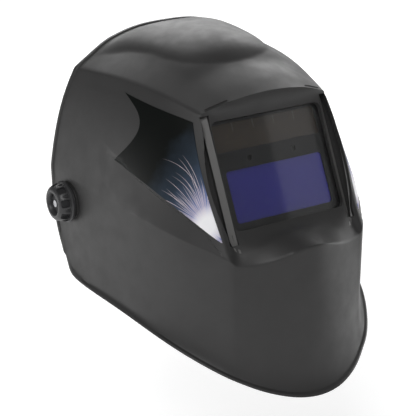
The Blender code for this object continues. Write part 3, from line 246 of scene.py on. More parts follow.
def rim_rows():
    """The lower rim, the top of its flare, the middle of the cheek and the edge under the crease."""
    crease = lower_crease()
    rim, flare = [], []
    corner_y = (0.004, -0.003, -0.012, -0.038)
    corner_up = (0.012, 0.005, 0.001, 0.0)
    for column in range(len(crease)):
        if column < 4:
            y = corner_y[column]
            width = SHELL_HALF_WIDTH
            spread = RIM_FLARE * column / 6
            z = -SIDE_DROP + corner_up[column]
        elif column < HOOD_COLUMN:
            y = WIDEST_Y + LOWER_STATIONS[column] * NOSE_REACH
            width = SHELL_HALF_WIDTH
            spread = RIM_FLARE * min(1.0, 0.5 + 0.25 * (column - 3))
            z = bottom_height(y)
        else:
            x = crease[column].x * (1.0 if column > HOOD_COLUMN else 0.97)
            spread = RIM_FLARE
            y = plan_front(x, SHELL_HALF_WIDTH, NOSE_REACH)
            rim.append(Vector((x, y - spread * 0.7, bottom_height(y - spread))))
            flare.append(Vector((x, y + 0.003, bottom_height(y) + RIM_FLARE_HEIGHT)))
            continue
        x = plan_width(y, width, NOSE_REACH)
        rim.append(Vector((x + spread, y - spread * 0.3 * (column > 3), z)))
        flare.append(Vector((x - 0.0005, y + 0.0005, z + RIM_FLARE_HEIGHT)))
    for column, up in enumerate((0.024, 0.018, 0.014)):
        flare[column].y = mix(rim[column].y, REAR_Y, 0.8 if column == 0 else 0.6)
        flare[column].z = rim[column].z + up
    cheek = [mix(high, low, 0.5) for high, low in zip(crease, flare)]
    cheek[0].y = mix(cheek[0].y, REAR_Y, 0.6)
    under = [mix(high, low, 0.07) for high, low in zip(crease, flare)]
    return [rim, flare, cheek, under, crease]


def side_rows():
    """Rows of the side wall above the lower crease, up to the brow line."""
    low, high = lower_crease(), upper_crease()
    rows = []
    for share, swell in ((0.10, 0.0012), (0.36, 0.0042), (0.70, 0.0050), (0.93, 0.0015)):
        row = []
        for column in range(HOOD_COLUMN):
            point = mix(low[column], high[column], share)
            point.x += swell
            row.append(point)
        rows.append(row)
    tip, corner = cheek_tip(), brow_corner()
    for row, share in zip(rows, (0.0, 0.33, 0.70, 0.95)):
        point = mix(tip, corner, share)
        bow = math.sin(math.pi * share)
        row.append(point + Vector((HOOD_BULGE * bow, -0.0018 * bow, 0.0007 * bow)))
    return rows + [high]


def crown_rows():
    """Rows over the crown, with its raised bubble, from the brow line to the middle."""
    edge = upper_crease()
    peak = on_lens(0, WINDOW_HEIGHT / 2 + BROW_CLEARANCE + BROW_PEAK_UP, 0.0023 + BROW_PEAK_OUT)
    raised = (0.0, 0.0, 0.85, 1.0, 1.0, 0.85, 0.0, 0.0)
    rows = []
    for share, lift in ((0.30, 0.0), (0.42, 0.9), (0.70, 1.0), (1.0, 1.0)):
        row = []
        for column in range(HOOD_COLUMN):
            top = Vector((0, CROWN_STATIONS[column], CROWN_HEIGHT * CROWN_RISES[column]))
            point = mix(edge[column], top, share)
            point.z = mix(edge[column].z, top.z, math.sin(math.pi / 2 * share) ** 0.9)
            point.z += BUBBLE_RISE * lift * raised[column]
            if column < 3:
                point.y += REAR_BOW * math.sin(math.pi * share)
                point.z += 0.5 * REAR_BOW * math.sin(math.pi * share)
            row.append(point)
        curve = 1 - (1 - share) ** 2
        brow = mix(edge[HOOD_COLUMN], peak, curve)
        brow.x = edge[HOOD_COLUMN].x * (1 - share)
        row.append(brow)
        rows.append(row)
    return rows


def floor_columns():
    """The hood's floor between the ledge's wave and the brow's arc, one column of points after another."""
    ups = (-WINDOW_HEIGHT / 2 - 0.003, 0.0, WINDOW_HEIGHT / 2 + BROW_CLEARANCE * 0.72)
    return [[on_lens(share * hood_half_width(), up, -0.001) for up in ups] for share in FLOOR_SHARES]


def shell_skin():
    """Outer surface of one half, as a coarse cage for the subdivision."""
    made = bmesh.new()
    made.edges.layers.float.new("crease_edge")

    def place(points):
        return [made.verts.new(point) for point in points]

    def weave(rows, columns):
        for low, high in zip(rows, rows[1:]):
            for column in columns:
                made.faces.new((low[column], low[column + 1], high[column + 1], high[column]))

    lower = [place(row) for row in rim_rows()]
    sides = [place(row) for row in side_rows()]
    crown = [place(row) for row in crown_rows()]
    back_rows = lower + sides + crown
    weave(back_rows, range(HOOD_COLUMN))
    weave(lower, range(HOOD_COLUMN, len(lower[0]) - 1))

    wave_up = (0.003, 0.0105, 0.014)
    wave_y = (-0.1814, -0.1822, -0.1800)
    wave = place([
        Vector((share * (hood_half_width() + 0.003), -LENS_FORWARD + y + 0.148, up))
        for share, y, up in zip(FRONT_SHARES, wave_y, wave_up)
    ])
    tip = sides[0][HOOD_COLUMN]
    inner = [tip] + wave
    outer = lower[-1][HOOD_COLUMN:]
    weave([outer, inner], range(len(FRONT_SHARES)))

    rim_side = [row[HOOD_COLUMN] for row in sides]
    brow_line = [rim_side[-1]] + [row[HOOD_COLUMN] for row in (crown[1], crown[2], crown[3])]
    grid = [rim_side]
    for low, column, high in zip(wave, floor_columns(), brow_line[1:]):
        grid.append([low] + place(column) + [high])
    for left, right in zip(grid, grid[1:]):
        for step in range(len(left) - 1):
            made.faces.new((left[step], right[step], right[step + 1], left[step + 1]))
    # the brow's first stretch has one more point on the crown's side than on the floor's
    first = crown[0][HOOD_COLUMN]
    made.faces.new((rim_side[-1], brow_line[1], first))

    crease = made.edges.layers.float["crease_edge"]

    def sharpen(points, weight):
        for a, b in zip(points, points[1:]):
            edge = made.edges.get((a, b))
            if edge:
                edge[crease] = weight

    sharpen(rim_side, 1.0)
    sharpen([rim_side[-1], first] + brow_line[1:], 1.0)
    sharpen([rim_side[-1], brow_line[1]], 1.0)
    sharpen(outer, 0.7)
    sharpen(inner, 0.6)
    sharpen(lower[-1][4:HOOD_COLUMN + 1], 0.5)
    sharpen(sides[-1][:HOOD_COLUMN + 1], 0.55)
    sharpen([outer[0], tip], 0.3)
    sharpen([row[0] for row in back_rows], 1.0)
    sharpen(lower[0], 1.0)
    bmesh.ops.recalc_face_normals(made, faces=made.faces)
    outward = sum(face.normal.x * face.calc_area() for face in made.faces)
    if outward < 0:
        bmesh.ops.reverse_faces(made, faces=made.faces)
    return made


def hood_outline(inset, steps=24):
    """The hood's opening as seen square to the lens, with bowed sides."""
    half = hood_half_width() - inset
    top = WINDOW_HEIGHT / 2 + BROW_CLEARANCE - inset
    bottom = -WINDOW_HEIGHT / 2 - CHEEK_CLEARANCE + inset + 0.004
    side = []
    for step in range(steps + 1):
        share = step / steps
        side.append((half + HOOD_BULGE * math.sin(math.pi * share), mix(bottom, top, share)))
    return side + [(-x, y) for x, y in reversed(side)]


def groove_outline(sign):
    """The crescent between the window's lip and the hood's side rim, its bowed side first."""
    inner = hood_half_width()
    top = WINDOW_HEIGHT / 2 + BROW_CLEARANCE - 0.004
    bottom = -WINDOW_HEIGHT / 2 - CHEEK_CLEARANCE + 0.006
    line = []
    for step in range(13):
        share = step / 12
        bow = GROOVE_WIDTH * math.sin(math.pi * share)
        line.append((sign * (inner + GAP + bow), mix(bottom, top, share)))
    return line + [(sign * inner, top), (sign * inner, bottom)]


# Heights along the lens axis, each measured out from the window's plane
COVER_FRONT = -LIP_THICKNESS - GAP
CARTRIDGE_FRONT = COVER_FRONT - COVER_LENS_THICKNESS - GAP
CARTRIDGE_BACK = CARTRIDGE_FRONT - CARTRIDGE_DEPTH
BLOCK_BACK = min(CARTRIDGE_BACK, -GROOVE_DEPTH - 0.002)


def decal_corners():
    """Corners of the pointed decal behind the hood, each (forward, up) in the side's plane."""
    corner, tip = brow_corner(), cheek_tip()
    front_top = (corner.y + 0.0045, corner.z - 0.0055)
    front_low = (tip.y + 0.0045, tip.z + 0.011)
    rear_tip = (corner.y + DECAL_LENGTH, corner.z + 0.002)
    rear_low = (corner.y + 0.82 * DECAL_LENGTH, 0.52 * corner.z)
    low_middle = (mix(rear_low[0], front_low[0], 0.52), mix(rear_low[1], front_low[1], 0.36))
    return rear_tip, front_top, front_low, low_middle, rear_low


# Making shapes

def link(obj):
    SCENE.collection.objects.link(obj)
    return obj


def object_from(made, name, place=None):
    mesh = bpy.data.meshes.new(name)
    made.to_mesh(mesh)
    made.free()
    obj = link(bpy.data.objects.new(name, mesh))
    if place is not None:
        obj.matrix_world = place
    return obj


def plate(name, outline, bottom, top, place=None):
    """A flat outline raised between two heights along its own Z."""
    curve = bpy.data.curves.new(name, "CURVE")
    curve.dimensions = "2D"
    curve.fill_mode = "BOTH"
    curve.extrude = (top - bottom) / 2
    spline = curve.splines.new("POLY")
    spline.points.add(len(outline) - 1)
    for point, (x, y) in zip(spline.points, outline):
        point.co = (x, y, 0, 1)
    spline.use_cyclic_u = True
    drawn = link(bpy.data.objects.new(name, curve))
    bpy.context.view_layer.update()
    mesh = bpy.data.meshes.new_from_object(drawn)
    bpy.data.objects.remove(drawn)
    bpy.data.curves.remove(curve)
    made = bmesh.new()
    made.from_mesh(mesh)
    bpy.data.meshes.remove(mesh)
    bmesh.ops.remove_doubles(made, verts=made.verts, dist=1e-6)
    bmesh.ops.translate(made, vec=(0, 0, (top + bottom) / 2), verts=made.verts)
    bmesh.ops.recalc_face_normals(made, faces=made.faces)
    return object_from(made, name, place)


def disc(name, radius, bottom, top, place=None, segments=64):
    last = 2 * math.pi * (segments - 1) / segments
    return plate(name, arc(0, 0, radius, 0, last, segments - 1), bottom, top, place)


def modify(obj, kind, **settings):
    step = obj.modifiers.new(kind.lower(), kind)
    for name, value in settings.items():
        setattr(step, name, value)
    return step


def place_mesh(obj):
    """Moves the object's place into its mesh."""
    bpy.context.view_layer.update()
    obj.data.transform(obj.matrix_world)
    obj.matrix_world = Matrix.Identity(4)


def wear(obj, *materials):
    obj.data.materials.clear()
    for made in materials:
        obj.data.materials.append(made)


def prism(name, rings, place):
    """The solid between two rings of points that match one to one."""
    made = bmesh.new()
    low, high = ([made.verts.new(point) for point in ring] for ring in rings)
    made.faces.new(low)
    made.faces.new(high[::-1])
    for here in range(len(low)):
        after = (here + 1) % len(low)
        made.faces.new((low[here], low[after], high[after], high[here]))
    bmesh.ops.triangulate(made, faces=[face for face in made.faces if len(face.verts) > 4])
    bmesh.ops.recalc_face_normals(made, faces=made.faces)
    return object_from(made, name, place)


def combine(target, other, operation):
    modify(target, "BOOLEAN", object=other, operation=operation, solver="MANIFOLD")
    settle(target)
    bpy.data.objects.remove(other)
    return target


def smooth_group():
    """Joins split corners and shades every edge under the limit smooth."""
    group = bpy.data.node_groups.new("smooth_by_angle", "GeometryNodeTree")
    for way in ("INPUT", "OUTPUT"):
        group.interface.new_socket("Geometry", in_out=way, socket_type="NodeSocketGeometry")

    def add(kind, **inputs):
        node = group.nodes.new(kind)
        for key, value in inputs.items():
            node.inputs[key.replace("_", " ")].default_value = value
        return node

    start = add("NodeGroupInput")
    merge = add("GeometryNodeMergeByDistance", Distance=2e-6)
    clear = add("GeometryNodeRemoveAttribute", Name="custom_normal")
    faces = add("GeometryNodeSetShadeSmooth")
    faces.domain = "FACE"
    edges = add("GeometryNodeSetShadeSmooth", Shade_Smooth=False)
    edges.domain = "EDGE"
    angle = add("GeometryNodeInputMeshEdgeAngle")
    limit = add("FunctionNodeCompare")
    limit.data_type = "FLOAT"
    limit.operation = "GREATER_THAN"
    limit.inputs["B"].default_value = math.radians(32)
    end = add("NodeGroupOutput")
    chain = (start, merge, clear, faces, edges, end)
    for before, after in zip(chain, chain[1:]):
        socket = after.inputs["Geometry"] if "Geometry" in after.inputs else after.inputs[0]
        group.links.new(before.outputs[0], socket)
    group.links.new(angle.outputs["Unsigned Angle"], limit.inputs["A"])
    group.links.new(limit.outputs["Result"], edges.inputs["Selection"])
    return group


SMOOTH = smooth_group()


def smooth(obj, rounding=0.0):
    """Rounds the sharp edges a little, then shades the rest smooth."""
    modify(obj, "NODES", node_group=SMOOTH)
    if rounding:
        modify(
            obj, "BEVEL", width=rounding, segments=2, limit_method="ANGLE", angle_limit=math.radians(40),
            harden_normals=False,
        )
        modify(obj, "NODES", node_group=SMOOTH)
    return obj


# Materials

def shader_of(name, colour, roughness, metallic=0.0, **inputs):
    made = bpy.data.materials.new(name)
    made.use_nodes = True
    shader = made.node_tree.nodes["Principled BSDF"]
    shader.inputs["Base Color"].default_value = (*colour, 1.0)
    shader.inputs["Roughness"].default_value = roughness
    shader.inputs["Metallic"].default_value = metallic
    for key, value in inputs.items():
        shader.inputs[key.replace("_", " ")].default_value = value
    return made, made.node_tree, shader


def coords(tree):
    return tree.nodes.new("ShaderNodeTexCoord").outputs["Object"]


def noise_node(tree, scale, detail=3.0, rough=0.5, vector=None):
    node = tree.nodes.new("ShaderNodeTexNoise")
    node.inputs["Scale"].default_value = scale
    node.inputs["Detail"].default_value = detail
    node.inputs["Roughness"].default_value = rough
    tree.links.new(vector or coords(tree), node.inputs["Vector"])
    return node.outputs["Fac"]


def ramp(tree, value, stops):
    node = tree.nodes.new("ShaderNodeValToRGB")
    tree.links.new(value, node.inputs["Fac"])
    band = node.color_ramp
    while len(band.elements) < len(stops):
        band.elements.new(0.5)
    for element, (spot, colour) in zip(band.elements, stops):
        element.position = spot
        element.color = (*colour, 1.0) if len(colour) == 3 else colour
    return node.outputs["Color"]


def paint(tree, shader, socket, value, stops):
    tree.links.new(ramp(tree, value, stops), shader.inputs[socket])


def grey(value):
    return (value, value, value)


def maths(tree, operation, a, b=None, c=None):
    node = tree.nodes.new("ShaderNodeMath")
    node.operation = operation
    for socket, value in zip(node.inputs, (a, b, c)):
        if value is None:
            continue
        if isinstance(value, (int, float)):
            socket.default_value = value
        else:
            tree.links.new(value, socket)
    return node.outputs[0]


def bump(tree, shader, height, strength, distance):
    node = tree.nodes.new("ShaderNodeBump")
    node.inputs["Strength"].default_value = strength
    node.inputs["Distance"].default_value = distance
    tree.links.new(height, node.inputs["Height"])
    tree.links.new(node.outputs["Normal"], shader.inputs["Normal"])


def moulded(name, colour, roughness, grain=1400.0, depth=0.00006, spread=0.12, strength=0.35):
    """Moulded plastic: fine spark-eroded grain, faint flow marks and uneven gloss."""
    made, tree, shader = shader_of(name, colour, roughness)
    flow = noise_node(tree, 9.0, 4.0, 0.55)
    paint(tree, shader, "Base Color", flow, [
        (0.3, tuple(c * (1 - spread) for c in colour)), (0.7, tuple(c * (1 + spread) for c in colour)),
    ])
    gloss = noise_node(tree, 60.0, 5.0, 0.6)
    paint(tree, shader, "Roughness", gloss, [
        (0.35, grey(roughness * 0.9)), (0.65, grey(min(1.0, roughness * 1.1))),
    ])
    bump(tree, shader, noise_node(tree, grain, 2.0, 0.5), strength, depth)
    return made


def metal(name, colour, roughness):
    """Turned metal with fine circular brush lines and a little tarnish."""
    made, tree, shader = shader_of(name, colour, roughness, 1.0)
    stain = noise_node(tree, 180.0, 5.0, 0.6)
    paint(tree, shader, "Base Color", stain, [(0.3, tuple(c * 0.8 for c in colour)), (0.7, colour)])
    paint(tree, shader, "Roughness", stain, [(0.3, grey(roughness * 1.4)), (0.7, grey(roughness))])
    bump(tree, shader, noise_node(tree, 2500.0, 2.0), 0.2, 0.00003)
    return made


def cloth(name, colour, scale, depth):
    """Looped or knitted cloth: a fine cell pattern, with painted shade darkening the gaps between the loops,
    plus fuzz and sheen.
    """
    made, tree, shader = shader_of(name, colour, 0.95, Sheen_Weight=0.4, Sheen_Roughness=0.6)
    cells = tree.nodes.new("ShaderNodeTexVoronoi")
    cells.inputs["Scale"].default_value = scale
    tree.links.new(coords(tree), cells.inputs["Vector"])
    # Painted shade: each cell is lighter at its middle and darker toward its edges, where the gaps between
    # the loops lie.
    paint(tree, shader, "Base Color", cells.outputs["Distance"], [
        (0.0, tuple(c * 1.5 for c in colour)), (0.8, tuple(c * 0.5 for c in colour)),
    ])
    inverse = maths(tree, "SUBTRACT", 1.0, cells.outputs["Distance"])
    bump(tree, shader, inverse, 0.8, depth)
    return made


def clear_plastic(name):
    made, tree, shader = shader_of(name, (1.0, 1.0, 1.0), 0.03, Transmission_Weight=1.0, IOR=1.49)
    smear = noise_node(tree, 24.0, 4.0, 0.6)
    paint(tree, shader, "Roughness", smear, [(0.4, grey(0.02)), (0.75, grey(0.06))])
    return made


def lens_spot(tree):
    """Distance across the lens plane from its centre, and up it, in metres."""
    place = lens_place()
    across, up = place.to_3x3().col[0], place.to_3x3().col[1]
    found = []
    for direction in (across, up):
        node = tree.nodes.new("ShaderNodeVectorMath")
        node.operation = "DOT_PRODUCT"
        tree.links.new(coords(tree), node.inputs[0])
        node.inputs[1].default_value = direction
        found.append(maths(tree, "SUBTRACT", node.outputs["Value"], direction.dot(place.translation)))
    return found


def filter_glass_material():
    made, tree, shader = shader_of(
        "filter_glass", (0.028, 0.026, 0.115), 0.06, Coat_Weight=1.0, Coat_Roughness=0.02,
    )
    across, _ = lens_spot(tree)
    # Painted light: the filter's colour lightens steadily across the lens toward the wearer's left, standing
    # in for the brighter reflection on that side. The noise added on top is random tone.
    painted_light_across = maths(tree, "MULTIPLY_ADD", across, 7.0, 0.5)
    cloud = maths(tree, "MULTIPLY_ADD", noise_node(tree, 30.0), 0.12, painted_light_across)
    paint(tree, shader, "Base Color", cloud, [
        (0.1, (0.030, 0.028, 0.27)), (0.55, (0.034, 0.031, 0.33)), (1.0, (0.040, 0.036, 0.42)),
    ])
    return made


def solar_material():
    made, tree, shader = shader_of(
        "solar_cell", (0.028, 0.021, 0.014), 0.14, Coat_Weight=0.6, Coat_Roughness=0.03,
    )
    across, up = lens_spot(tree)
    cell = SOLAR_WIDTH / 5
    phase = maths(tree, "ABSOLUTE", maths(tree, "PINGPONG", maths(tree, "ADD", across, cell / 2), cell / 2))
    line = maths(tree, "LESS_THAN", phase, 0.00022)
    high = maths(tree, "GREATER_THAN", up, SOLAR_CENTRE + 0.0035)
    mark = maths(tree, "MULTIPLY", line, high)
    paint(tree, shader, "Base Color", mark, [(0.0, (0.052, 0.039, 0.026)), (1.0, (0.16, 0.15, 0.13))])
    return made


def board_material():
    made, tree, shader = shader_of("circuit_board", (0.01, 0.09, 0.035), 0.45)
    cells = tree.nodes.new("ShaderNodeTexBrick")
    cells.inputs["Scale"].default_value = 220.0
    cells.inputs["Color1"].default_value = (0.010, 0.080, 0.030, 1)
    cells.inputs["Color2"].default_value = (0.014, 0.120, 0.045, 1)
    cells.inputs["Mortar"].default_value = (0.05, 0.16, 0.07, 1)
    tree.links.new(coords(tree), cells.inputs["Vector"])
    tree.links.new(cells.outputs["Color"], shader.inputs["Base Color"])
    return made


SHELL = moulded("shell_plastic", (0.030, 0.0295, 0.0295), 0.52, spread=0.05, strength=0.15)
# A lighter, glossier copy of the shell plastic. Its lighter colour is a painted highlight on the sloped sides
# of the window lip.
LIP_PAINTED_HIGHLIGHT = moulded("shell_lip_painted_highlight", (0.110, 0.108, 0.106), 0.36, spread=0.05, strength=0.10)
MATERIALS = {
    "shell_plastic": SHELL,
    "cartridge_plastic": moulded("cartridge_plastic", (0.020, 0.021, 0.022), 0.42),
    "headgear_plastic": moulded("headgear_plastic", (0.022, 0.022, 0.023), 0.48, spread=0.15),
    "knob_plastic": moulded("knob_plastic", (0.034, 0.034, 0.036), 0.40, spread=0.12),
    "clear_cover": clear_plastic("clear_cover"),
    "filter_glass": filter_glass_material(),
    "solar_cell": solar_material(),
    "sensor_window": moulded("sensor_window", (0.004, 0.004, 0.006), 0.08, grain=400.0, depth=0.00001),
    "circuit_board": board_material(),
    "bright_steel": metal("bright_steel", (0.55, 0.55, 0.57), 0.28),
    "brass_insert": metal("brass_insert", (0.70, 0.50, 0.20), 0.30),
    "fibre_washer": moulded("fibre_washer", (0.16, 0.16, 0.165), 0.7, grain=3000.0),
    "terry_cloth": cloth("terry_cloth", (0.030, 0.030, 0.034), 900.0, 0.0006),
    "foam_pad": cloth("foam_pad", (0.045, 0.045, 0.05), 1400.0, 0.0002),
}


# Shell

SKIN_LEVELS = 3
CREASE_LINE = (  # the bubble's front edge over the crown, (across, along)
    (0.0745, 0.024), (0.0693, 0.0143), (0.0585, -0.0069), (0.0512, -0.034), (0.0493, -0.0511),
    (0.0430, -0.0723), (0.0360, -0.0815), (0.0267, -0.0874), (0.0120, -0.0935), (0.0, -0.095),
)
WING_LINE = (  # the lower edge of the raised wing on each side, (along, up)
    (-0.040, 0.0655), (-0.0746, 0.0521), (-0.0994, 0.0442), (-0.134, 0.0309), (-0.157, 0.0197),
    (-0.1762, 0.0013),
)
WING_FOOT = tuple((y + 0.0004, z - 0.0009) for y, z in WING_LINE)
WING_STEP = 0.0016
WING_FADE = 0.030         # the step dies out this far below the line
BUBBLE_STEP = 0.0018      # the crown dips along the bubble's edge
BUBBLE_FADES = (0.013, 0.006)  # ahead of the bubble's edge and behind it
REAR_BEAD = 0.0012
RIM_BEAD = 0.0016
BEAD_WIDTH = 0.0026
BEAD_SHOULDER = 0.0010


def line_gap(point, line):
    """Distance from a polyline in the plane, and how far along it the nearest point lies, from 0 to 1."""
    best = (math.inf, 0.0)
    for step, (start, end) in enumerate(zip(line, line[1:])):
        a, along = Vector(start), Vector(end) - Vector(start)
        share = max(0.0, min(1.0, (point - a).dot(along) / along.length_squared))
        off = (point - (a + along * share)).length
        if off < best[0]:
            best = (off, (step + share) / (len(line) - 1))
    return best


def level_at(line, reach):
    """The second coordinate of a polyline where its first, always falling, is reach."""
    for (x0, y0), (x1, y1) in zip(line, line[1:]):
        if x1 <= reach <= x0:
            return mix(y0, y1, (x0 - reach) / (x0 - x1))
    return None


def ease(value):
    value = max(0.0, min(1.0, value))
    return value * value * (3 - 2 * value)


def fine_skin(name):
    """The shell's outer surface, both halves, as a fine open mesh."""
    skin = object_from(shell_skin(), name)
    modify(skin, "MIRROR", use_clip=True, merge_threshold=0.0001)
    modify(skin, "SUBSURF", levels=SKIN_LEVELS, render_levels=SKIN_LEVELS)
    return settle(skin)


def cut_along(made, line):
    """Runs mesh edges along a line drawn on both sides of the shell, as seen from the side."""
    for (y0, z0), (y1, z1) in zip(line, line[1:]):
        normal = Vector((0, z1 - z0, y0 - y1)).normalized()
        low, high = min(y0, y1), max(y0, y1)
        chosen = []
        for face in made.faces:
            centre = face.calc_center_median()
            if low - 0.004 < centre.y < high + 0.004 and abs(centre.x) > 0.04 and -0.02 < centre.z < 0.09:
                if min(v.co.y for v in face.verts) < high and max(v.co.y for v in face.verts) > low:
                    chosen.append(face)
        parts = list(dict.fromkeys(part for face in chosen for part in (face, *face.edges, *face.verts)))
        bmesh.ops.bisect_plane(made, geom=parts, dist=1e-6, plane_co=Vector((0, y0, z0)), plane_no=normal)


def cut_skin(skin):
    """Runs edges along the wing's step, so that it stays crisp."""
    made = bmesh.new()
    made.from_mesh(skin.data)
    cut_along(made, WING_LINE)
    cut_along(made, WING_FOOT)
    made.to_mesh(skin.data)
    made.free()
    return skin


def tree_of(points):
    tree = KDTree(len(points))
    for index, point in enumerate(points):
        tree.insert(point, index)
    tree.balance()
    return tree


def lifts_of(skin):
    """How far each outer point moves for the bubble's crease, the wing's step and both edges' beads."""
    made = bmesh.new()
    made.from_mesh(skin.data)
    made.normal_update()
    edge = {vertex for side in made.edges if side.is_boundary for vertex in side.verts}
    rear = tree_of([v.co.copy() for v in edge if v.co.z > -0.05 and v.co.y > 0.0])
    low = tree_of([v.co.copy() for v in edge if v.co.z < -0.05 or v.co.y < -0.02])
    lifts = []
    for vertex in made.verts:
        point = vertex.co
        push = 0.0
        if point.z > 0.10:
            gap, share = line_gap(Vector((abs(point.x), point.y)), CREASE_LINE)
            fade = ease(share / 0.2)
            edge_y = level_at(CREASE_LINE, abs(point.x))
            behind = edge_y is not None and point.y > edge_y
            push -= BUBBLE_STEP * fade * math.exp(-gap / BUBBLE_FADES[behind])
        if abs(point.x) > 0.045 and point.y < -0.02 and -0.02 < point.z < 0.09:
            gap, share = line_gap(Vector((point.y, point.z)), WING_FOOT)
            edge_z = level_at(WING_FOOT, point.y)
            if edge_z is not None and point.z < edge_z + 0.00003:
                ends = ease(share / 0.35) * ease((1 - share) / 0.05)
                push -= WING_STEP * ends * (1 - ease(gap / WING_FADE))
        if point.y > -0.03 and point.z > -0.06:
            push += REAR_BEAD * (1 - ease((rear.find(point)[2] - BEAD_WIDTH) / BEAD_SHOULDER))
        if point.z < 0.02:
            bead = RIM_BEAD * (1 - ease((low.find(point)[2] - BEAD_WIDTH) / BEAD_SHOULDER))
            push += bead * ease((0.012 - point.y) / 0.03)
        move = vertex.normal * push
        if abs(point.x) < 1e-5:
            move.x = 0
        lifts.append(move)
    made.free()
    return lifts


HOOD_INSET = 0.0012       # the hood's floor stays this far inside its rim
HOOD_SPREAD = 0.0025      # the block behind the floor runs this far past the rim
THROUGH = 0.030           # how far a cut runs past the window's plane
LIP_FALL = 0.0030         # how far the lip's outer side drops back from its face
LIP_FLAT = 0.0006         # the lip's level face beside the window
LIP_RISE = 0.0056         # the lip's face past the window's top edge
GROOVE_SHOWN = 0.0065     # depth of the groove beside the lip
GROOVE_FLARE = 0.32


def groove_block(side):
    """The crescent groove's space, whose outer wall leans away from the window."""
    flat = groove_outline(side)
    count = len(flat) - 2
    rings = []
    for height in (-GROOVE_SHOWN, 0.02):
        lean = side * GROOVE_FLARE * (height + GROOVE_SHOWN)
        ring = []
        for index, (x, y) in enumerate(flat):
            bow = math.sin(math.pi * index / (count - 1)) if index < count else 0.0
            ring.append((x + lean * bow, y, height))
        rings.append(ring)
    return prism("groove_block", rings, lens_place())


def lip_bevel(side):
    """What comes off the window lip's outer side, so that it slopes away from the window."""
    inner, outer = WINDOW_WIDTH / 2 + LIP_FLAT, hood_half_width() + GROOVE_WIDTH * 0.45
    slope = LIP_FALL / (hood_half_width() - inner)
    corners = ((inner, 0.0), (outer, -slope * (outer - inner)), (outer, 0.006), (inner, 0.006))
    ends = (-WINDOW_HEIGHT / 2 - 0.010, WINDOW_HEIGHT / 2 + LIP_RISE)
    return prism("lip_bevel", [[(side * x, up, z) for x, z in corners] for up in ends], lens_place())


def visual_shell():
    shell = cut_skin(fine_skin("shell_body"))
    lifts = lifts_of(shell)
    modify(shell, "SOLIDIFY", thickness=SHELL_WALL, offset=-1)
    settle(shell)
    for vertex, lift in zip(shell.data.vertices, lifts):
        vertex.co += lift
    lens = lens_place()
    low, high = -WINDOW_HEIGHT / 2 - 0.0015, WINDOW_HEIGHT / 2 + LIP_RISE
    lip = rounded_outline(2 * hood_half_width(), high - low, 0.001, centre_y=(high + low) / 2)
    combine(shell, plate("hood_block", hood_outline(HOOD_INSET), -0.0065, -0.0015, lens), "UNION")
    combine(shell, plate("hood_back", hood_outline(-HOOD_SPREAD), BLOCK_BACK, -0.0060, lens), "UNION")
    combine(shell, plate("lip_face", lip, -0.004, 0.0, lens), "UNION")
    window = rounded_outline(WINDOW_WIDTH, WINDOW_HEIGHT, WINDOW_CORNER, steps=12)
    combine(shell, plate("window_cut", window, -THROUGH, THROUGH, lens), "DIFFERENCE")
    pocket = rounded_outline(
        CARTRIDGE_WIDTH + 2 * POCKET_GAP, CARTRIDGE_HEIGHT + 2 * POCKET_GAP, CARTRIDGE_CORNER + POCKET_GAP,
    )
    combine(shell, plate("pocket_cut", pocket, -THROUGH, -LIP_THICKNESS, lens), "DIFFERENCE")
    for side in SIDES.values():
        combine(shell, groove_block(side), "DIFFERENCE")
        combine(shell, lip_bevel(side), "DIFFERENCE")
        pivot = pivot_place(side)
        low = PIVOT_HALF_SPAN - BOSS_THICKNESS
        combine(shell, disc("boss", BOSS_RADIUS, low - 0.001, PIVOT_HALF_SPAN, pivot), "UNION")
        combine(shell, disc("boss_seat", TILT_PLATE_RADIUS + 0.001, low - 0.02, low, pivot), "DIFFERENCE")
        hole = disc("pivot_hole", BUSHING_RADIUS + GAP, low - 0.02, PIVOT_HALF_SPAN + 0.02, pivot)
        combine(shell, hole, "DIFFERENCE")
    wear(shell, SHELL, LIP_PAINTED_HIGHLIGHT)
    # Faces on the sloped outer sides of the window lip get the lighter lip material, a painted highlight
    # where the front light catches them.
    inverse = lens.inverted()
    slope = Vector((LIP_FALL, 0, hood_half_width() - WINDOW_WIDTH / 2 - LIP_FLAT)).normalized()
    for face in shell.data.polygons:
        middle = inverse @ face.center
        facing = inverse.to_3x3() @ face.normal
        lean = Vector((facing.x * math.copysign(1, middle.x), facing.y, facing.z))
        beside = WINDOW_WIDTH / 2 < abs(middle.x) < hood_half_width() + 0.001
        if beside and abs(middle.z) < 0.008 and lean.dot(slope) > 0.985:
            face.material_index = 1
    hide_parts("helmet_shell")
    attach(shell, "shell")
    return smooth(shell)


# Decals

GLOW_IN = (0.012, 0.0115)  # from the decal's lower front corner to the middle of the printed glow
DECAL_DROP = 0.0016        # the printed top edge sits this far under the brow line
FILM_GAP = 0.00008         # between the shell and the film
FILM_REACH = (0.03, 0.16)  # from the middle, what holds the film across the shell
SPARK_LAYERS = (  # streaks per radian, bend, longest, width, share left out, seed
    (24.0, 20.0, 0.046, 0.00020, 0.20, 3.0),
    (15.0, 60.0, 0.062, 0.00022, 0.35, 11.0),
    (9.0, 105.0, 0.082, 0.00024, 0.45, 29.0),
)


